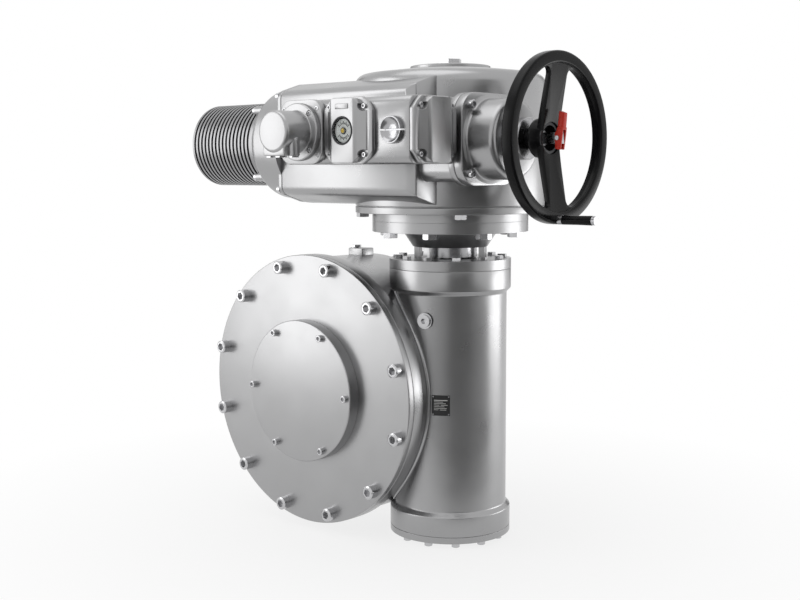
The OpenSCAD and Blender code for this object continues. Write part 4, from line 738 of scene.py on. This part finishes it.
def bonnet():
    """Square flange and barrel that carry the handwheel's shaft."""
    flange = soften(prism("bonnet_cast", "X", square(FLANGE_HALF, FLANGE_HALF, FLANGE_CORNER, DRIVE, 10),
                          NECK_END + JOINT_GAP, BONNET_RING_END), 2.2)
    barrel = turned("barrel", "X", DRIVE, rounded(
        [(0, 480), (90, 480), (90, BONNET_RING_END), (81, 491), (81, BONNET_END), (0, BONNET_END)],
        [0, 0, 0, 6, 11, 0]))
    join(flange, barrel)
    room = turned("room", "X", DRIVE, [(0, 460), (69, 460), (69, 529), (59, 539), (15.1, 539), (15.1, 560),
                                       (0, 560)], steps=64)
    holes = [prism("hole", "X", spread(20, BONNET_HOLE_R, centre=(DRIVE[0] + y, DRIVE[1] + z)), 460, 500)
             for y in (-68, 68) for z in (-68, 68)]
    cut(flange, room, *holes)
    dress(flange, "housing", "cast", "bonnet", smooth=28)


# ---------- controls ----------

def control_housing():
    """Long housing in front of the casing, open at its end and behind the covers."""
    low, high = CONTROL_Z - 65, CONTROL_Z + 65
    body = prism("control_housing_cast", "X", rounded(
        [(-396, low), (-396, high), (CONTROL_FRONT, high), (CONTROL_FRONT, low)], [0, 0, 17, 17], 6),
        *CONTROL_ENDS)
    soften(body, 2.2, 2, 40)
    room = prism("room", "X", square(52, 52, 20, (CONTROL_MIDDLE_Y, CONTROL_Z)), 146, 490)
    holes = [rod("hole", "Y", (x, CONTROL_Z), r, -530, -500, 48)
             for x, r in ((DISPLAY_X, SMALL_HOLE_R), (PLUG_X, 34), (SIDE_PLUG_X, 20.05))]
    cut(body, room, *holes)
    dress(body, "housing", "cast", "control_housing", smooth=28)


def cover(name, node, front):
    """Cover with sloping sides and corner pockets, on the front or on the end of the controls."""
    plane, way = ("Y", -1) if front else ("X", 1)
    along = DISPLAY_X if front else CONTROL_MIDDLE_Y
    seat = CONTROL_FRONT if front else CONTROL_ENDS[1]
    start = seat + way * JOINT_GAP
    face = start + way * 9.7
    turns = [math.radians(90 * k + a) for k in range(4) for a in (31.2, 36, 41, 45, 49, 54, 58.8)]
    arcs = [(along + 76 * math.cos(turn), CONTROL_Z + 76 * math.sin(turn)) for turn in turns]
    rim = soften(prism(name, plane, arcs, start, face), 1.8)

    eight = [(-28, -62), (28, -62), (60, -30), (60, 30), (28, 62), (-28, 62), (-60, 30), (-60, -30)]
    raised = prism("raised", plane, rounded([(along + u, CONTROL_Z + z) for u, z in eight], [9] * 8, 4),
                   start + way * 2, start + way * 25.7)
    profile = [(along + u, seat + way * depth) for u, depth in rounded(
        [(-54, 0), (54, 0), (54, 10), (30, 26), (-30, 26), (-54, 10)], [0, 0, 5, 7, 7, 5])]
    slopes = prism("slopes", "Z", profile if front else [point[::-1] for point in profile],
                   CONTROL_Z - 70, CONTROL_Z + 70)
    combine(raised, [slopes], "INTERSECT")
    soften(raised, 1.8, 3, 40)
    join(rim, raised)

    for u in (-46.5, 46.5):
        for z in (-46.5, 46.5):
            centre, far = (along + u, CONTROL_Z + z), start + way * 40
            pocket = turned("pocket", plane, centre, [(0, face), (9.5, face), (10.5, far), (0, far)], steps=32)
            cut(rim, pocket, rod("hole", plane, centre, SMALL_HOLE_R, start - way * 5, face + way, 16))
    if front:
        cut(rim, rod("opening", "Y", DIAL, 28, -520, -560, 64))
        tab = block("tab", (DISPLAY_X - 17, -553.4, CONTROL_Z + 42), (DISPLAY_X + 17, -549, CONTROL_Z + 52))
        join(rim, soften(tab, 1))
    dress(rim, "housing", "cast_fine", node, smooth=28)


def window_bezel():
    """Dark ring that holds the window's glass."""
    bezel = turned("bezel_dark", "Y", DIAL, rounded(
        [(24, -540), (27.9, -540), (27.9, -553), (24, -553)], [0, 0, 1.3, 1.3], 3), closed=True, steps=64)
    dress(bezel, "housing", "dark_ring", "window_bezel")


def dial_marks():
    """Plain marks in two groups on the dial, every second one longer."""
    centre = Matrix.Translation(Vector((DISPLAY_X, 0, CONTROL_Z)) * MM)
    marks = None
    for first in (0, 180):
        for i in range(-4, 5):
            size = 3.6 if i % 2 else 6.0
            mark = block("dial_marks", (DISPLAY_X - 0.7, -547.5, CONTROL_Z + 12.5),
                         (DISPLAY_X + 0.7, -546.9, CONTROL_Z + 12.5 + size))
            turn = Matrix.Rotation(math.radians(i * 13 + first), 4, "Y")
            mark.data.transform(centre @ turn @ centre.inverted())
            marks = mark if marks is None else join(marks, mark)
    dress(marks, "indicator", "plate_black")


def dial_hub():
    """Dark ring and yellow dot in the middle of the dial."""
    ring = turned("dial_hub_ring", "Y", DIAL, rounded(
        [(4.1, -546.9), (7, -546.9), (7, -548.6), (4.1, -548.6)], [0, 0, 0.6, 0.6], 2), closed=True, steps=40)
    dress(ring, "indicator", "plate_black")
    dot = turned("dial_dot", "Y", DIAL, rounded(
        [(0, -549.55), (4.4, -549.55), (4.4, -549.9), (0, -549.9)], [0, 0, 0.2, 0], 2), steps=40)
    dress(dot, "indicator", "yellow")


def side_plug():
    """Round dished plug with a slot."""
    plug = turned("side_plug_turned", "Y", (SIDE_PLUG_X, CONTROL_Z), rounded(
        [(0, -510), (19.9, -510), (19.9, -526.3), (26.5, -526.3), (26.5, -536), (24, -536), (19, -530.8),
         (10, -528), (0, -527.2)], [0, 0, 0, 0.5, 1.2, 1.2, 14, 12, 0]), steps=64)
    cut(plug, block("slot", (SIDE_PLUG_X - 35, -540, CONTROL_Z - 1.7),
                    (SIDE_PLUG_X + 35, -525.6, CONTROL_Z + 1.7)))
    dress(plug, "housing", "machined", "side_plug")


def plug_flange():
    """Plate between the controls and the plug connector."""
    plate = prism("plug_flange_cast", "Y", square(60.5, 64.5, 30, (PLUG_X, CONTROL_Z), 8),
                  CONTROL_FRONT - JOINT_GAP, -540)
    soften(plate, 1.6)
    cut(plate, rod("bore", "Y", (PLUG_X, CONTROL_Z), 34, -520, -545, 48))
    dress(plate, "housing", "cast", "plug_flange")


def plug_housing():
    """Round plug connector with a foot that has two cable entries, and a third beside it."""
    middle = (PLUG_X, CONTROL_Z)
    foot = CONTROL_Z - 48
    case = turned("plug_housing_cast", "Y", middle, rounded(
        [(0, -540.3), (58, -540.3), (58, -552), (42.5, -553), (42, -560), (42, -618), (0, -618)],
        [0, 1, 3, 2, 0, 7, 0]), steps=80)
    base = soften(block("base", (PLUG_X - 32, -614, foot), (PLUG_X + 29, -590, CONTROL_Z)), 2.5)
    boss = turned("boss", "Z", (PLUG_X + 30, -589), rounded(
        [(0, foot), (12, foot), (12, CONTROL_Z - 14), (0, CONTROL_Z + 4)], [0, 1.5, 5, 0]), steps=40)
    join(case, base, boss)
    cut(case, rod("bore", "Y", middle, 34, -530, -607, 48),
        *[rod("entry", "Z", (PLUG_X + x, y), r, 520, 541, 32)
          for x, y, r in ((-18, -602, 9.05), (8, -602, 9.05), (30, -589, 8.05))])
    for centre in spread(4, 51, 45, middle):
        cut(case, rod("pocket", "Y", centre, 6, -547, -570, 24),
            rod("hole", "Y", centre, SMALL_HOLE_R, -535, -548, 16))
    dress(case, "housing", "cast_fine", "plug_housing")


def nameplate_lines():
    """Plain raised bars in place of the plate's printing, bent round the column in short pieces."""
    turn = Matrix.Rotation(math.radians(29.8), 4, "Z")
    to_column = Matrix.Translation(Vector((*COLUMN, 0)) * MM)
    plate_face, plate_z, steps = 129, -7, 6
    # Left and right end, height and thickness of each bar on the plate
    rows = [(-15, 15, 9.5, 1.8), (-15, 5, 6, 1.0), (-15, 11, 2.5, 1.0), (-15, -3, -1, 1.0), (0, 15, -1, 1.0),
            (-15, 8, -4.5, 1.0), (-15, 13, -8, 1.0), (-15, -5, -11.5, 1.0), (-2, 12, -11.5, 1.0)]
    bars = None
    for left, right, height, tall in rows:
        for k in range(steps):
            a = math.asin((left + (right - left) * (k + 0.5) / steps) / plate_face)
            half = (right - left) / steps / 2 + 0.05
            z = plate_z + height
            bar = block("nameplate_lines", (-half, -129.35, z - tall / 2), (half, -128.9, z + tall / 2))
            bar.data.transform(to_column @ turn @ Matrix.Rotation(a, 4, "Z"))
            if bars is None:
                bars = bar
            else:
                pick(bars)
                bar.select_set(True)
                bpy.ops.object.join()
    dress(bars, "housing", "dial_white")


gear_housing()
case_fillet()
front_cover()
handwheel()
crank_grip()
lever()
actuator_housing()
motor_bell()
bonnet()
control_housing()
cover("display_cover_cast", "display_cover", True)
cover("end_cover_cast", "end_cover", False)
window_bezel()
dial_marks()
dial_hub()
side_plug()
plug_flange()
plug_housing()
nameplate_lines()

place_camera()
make_stage()
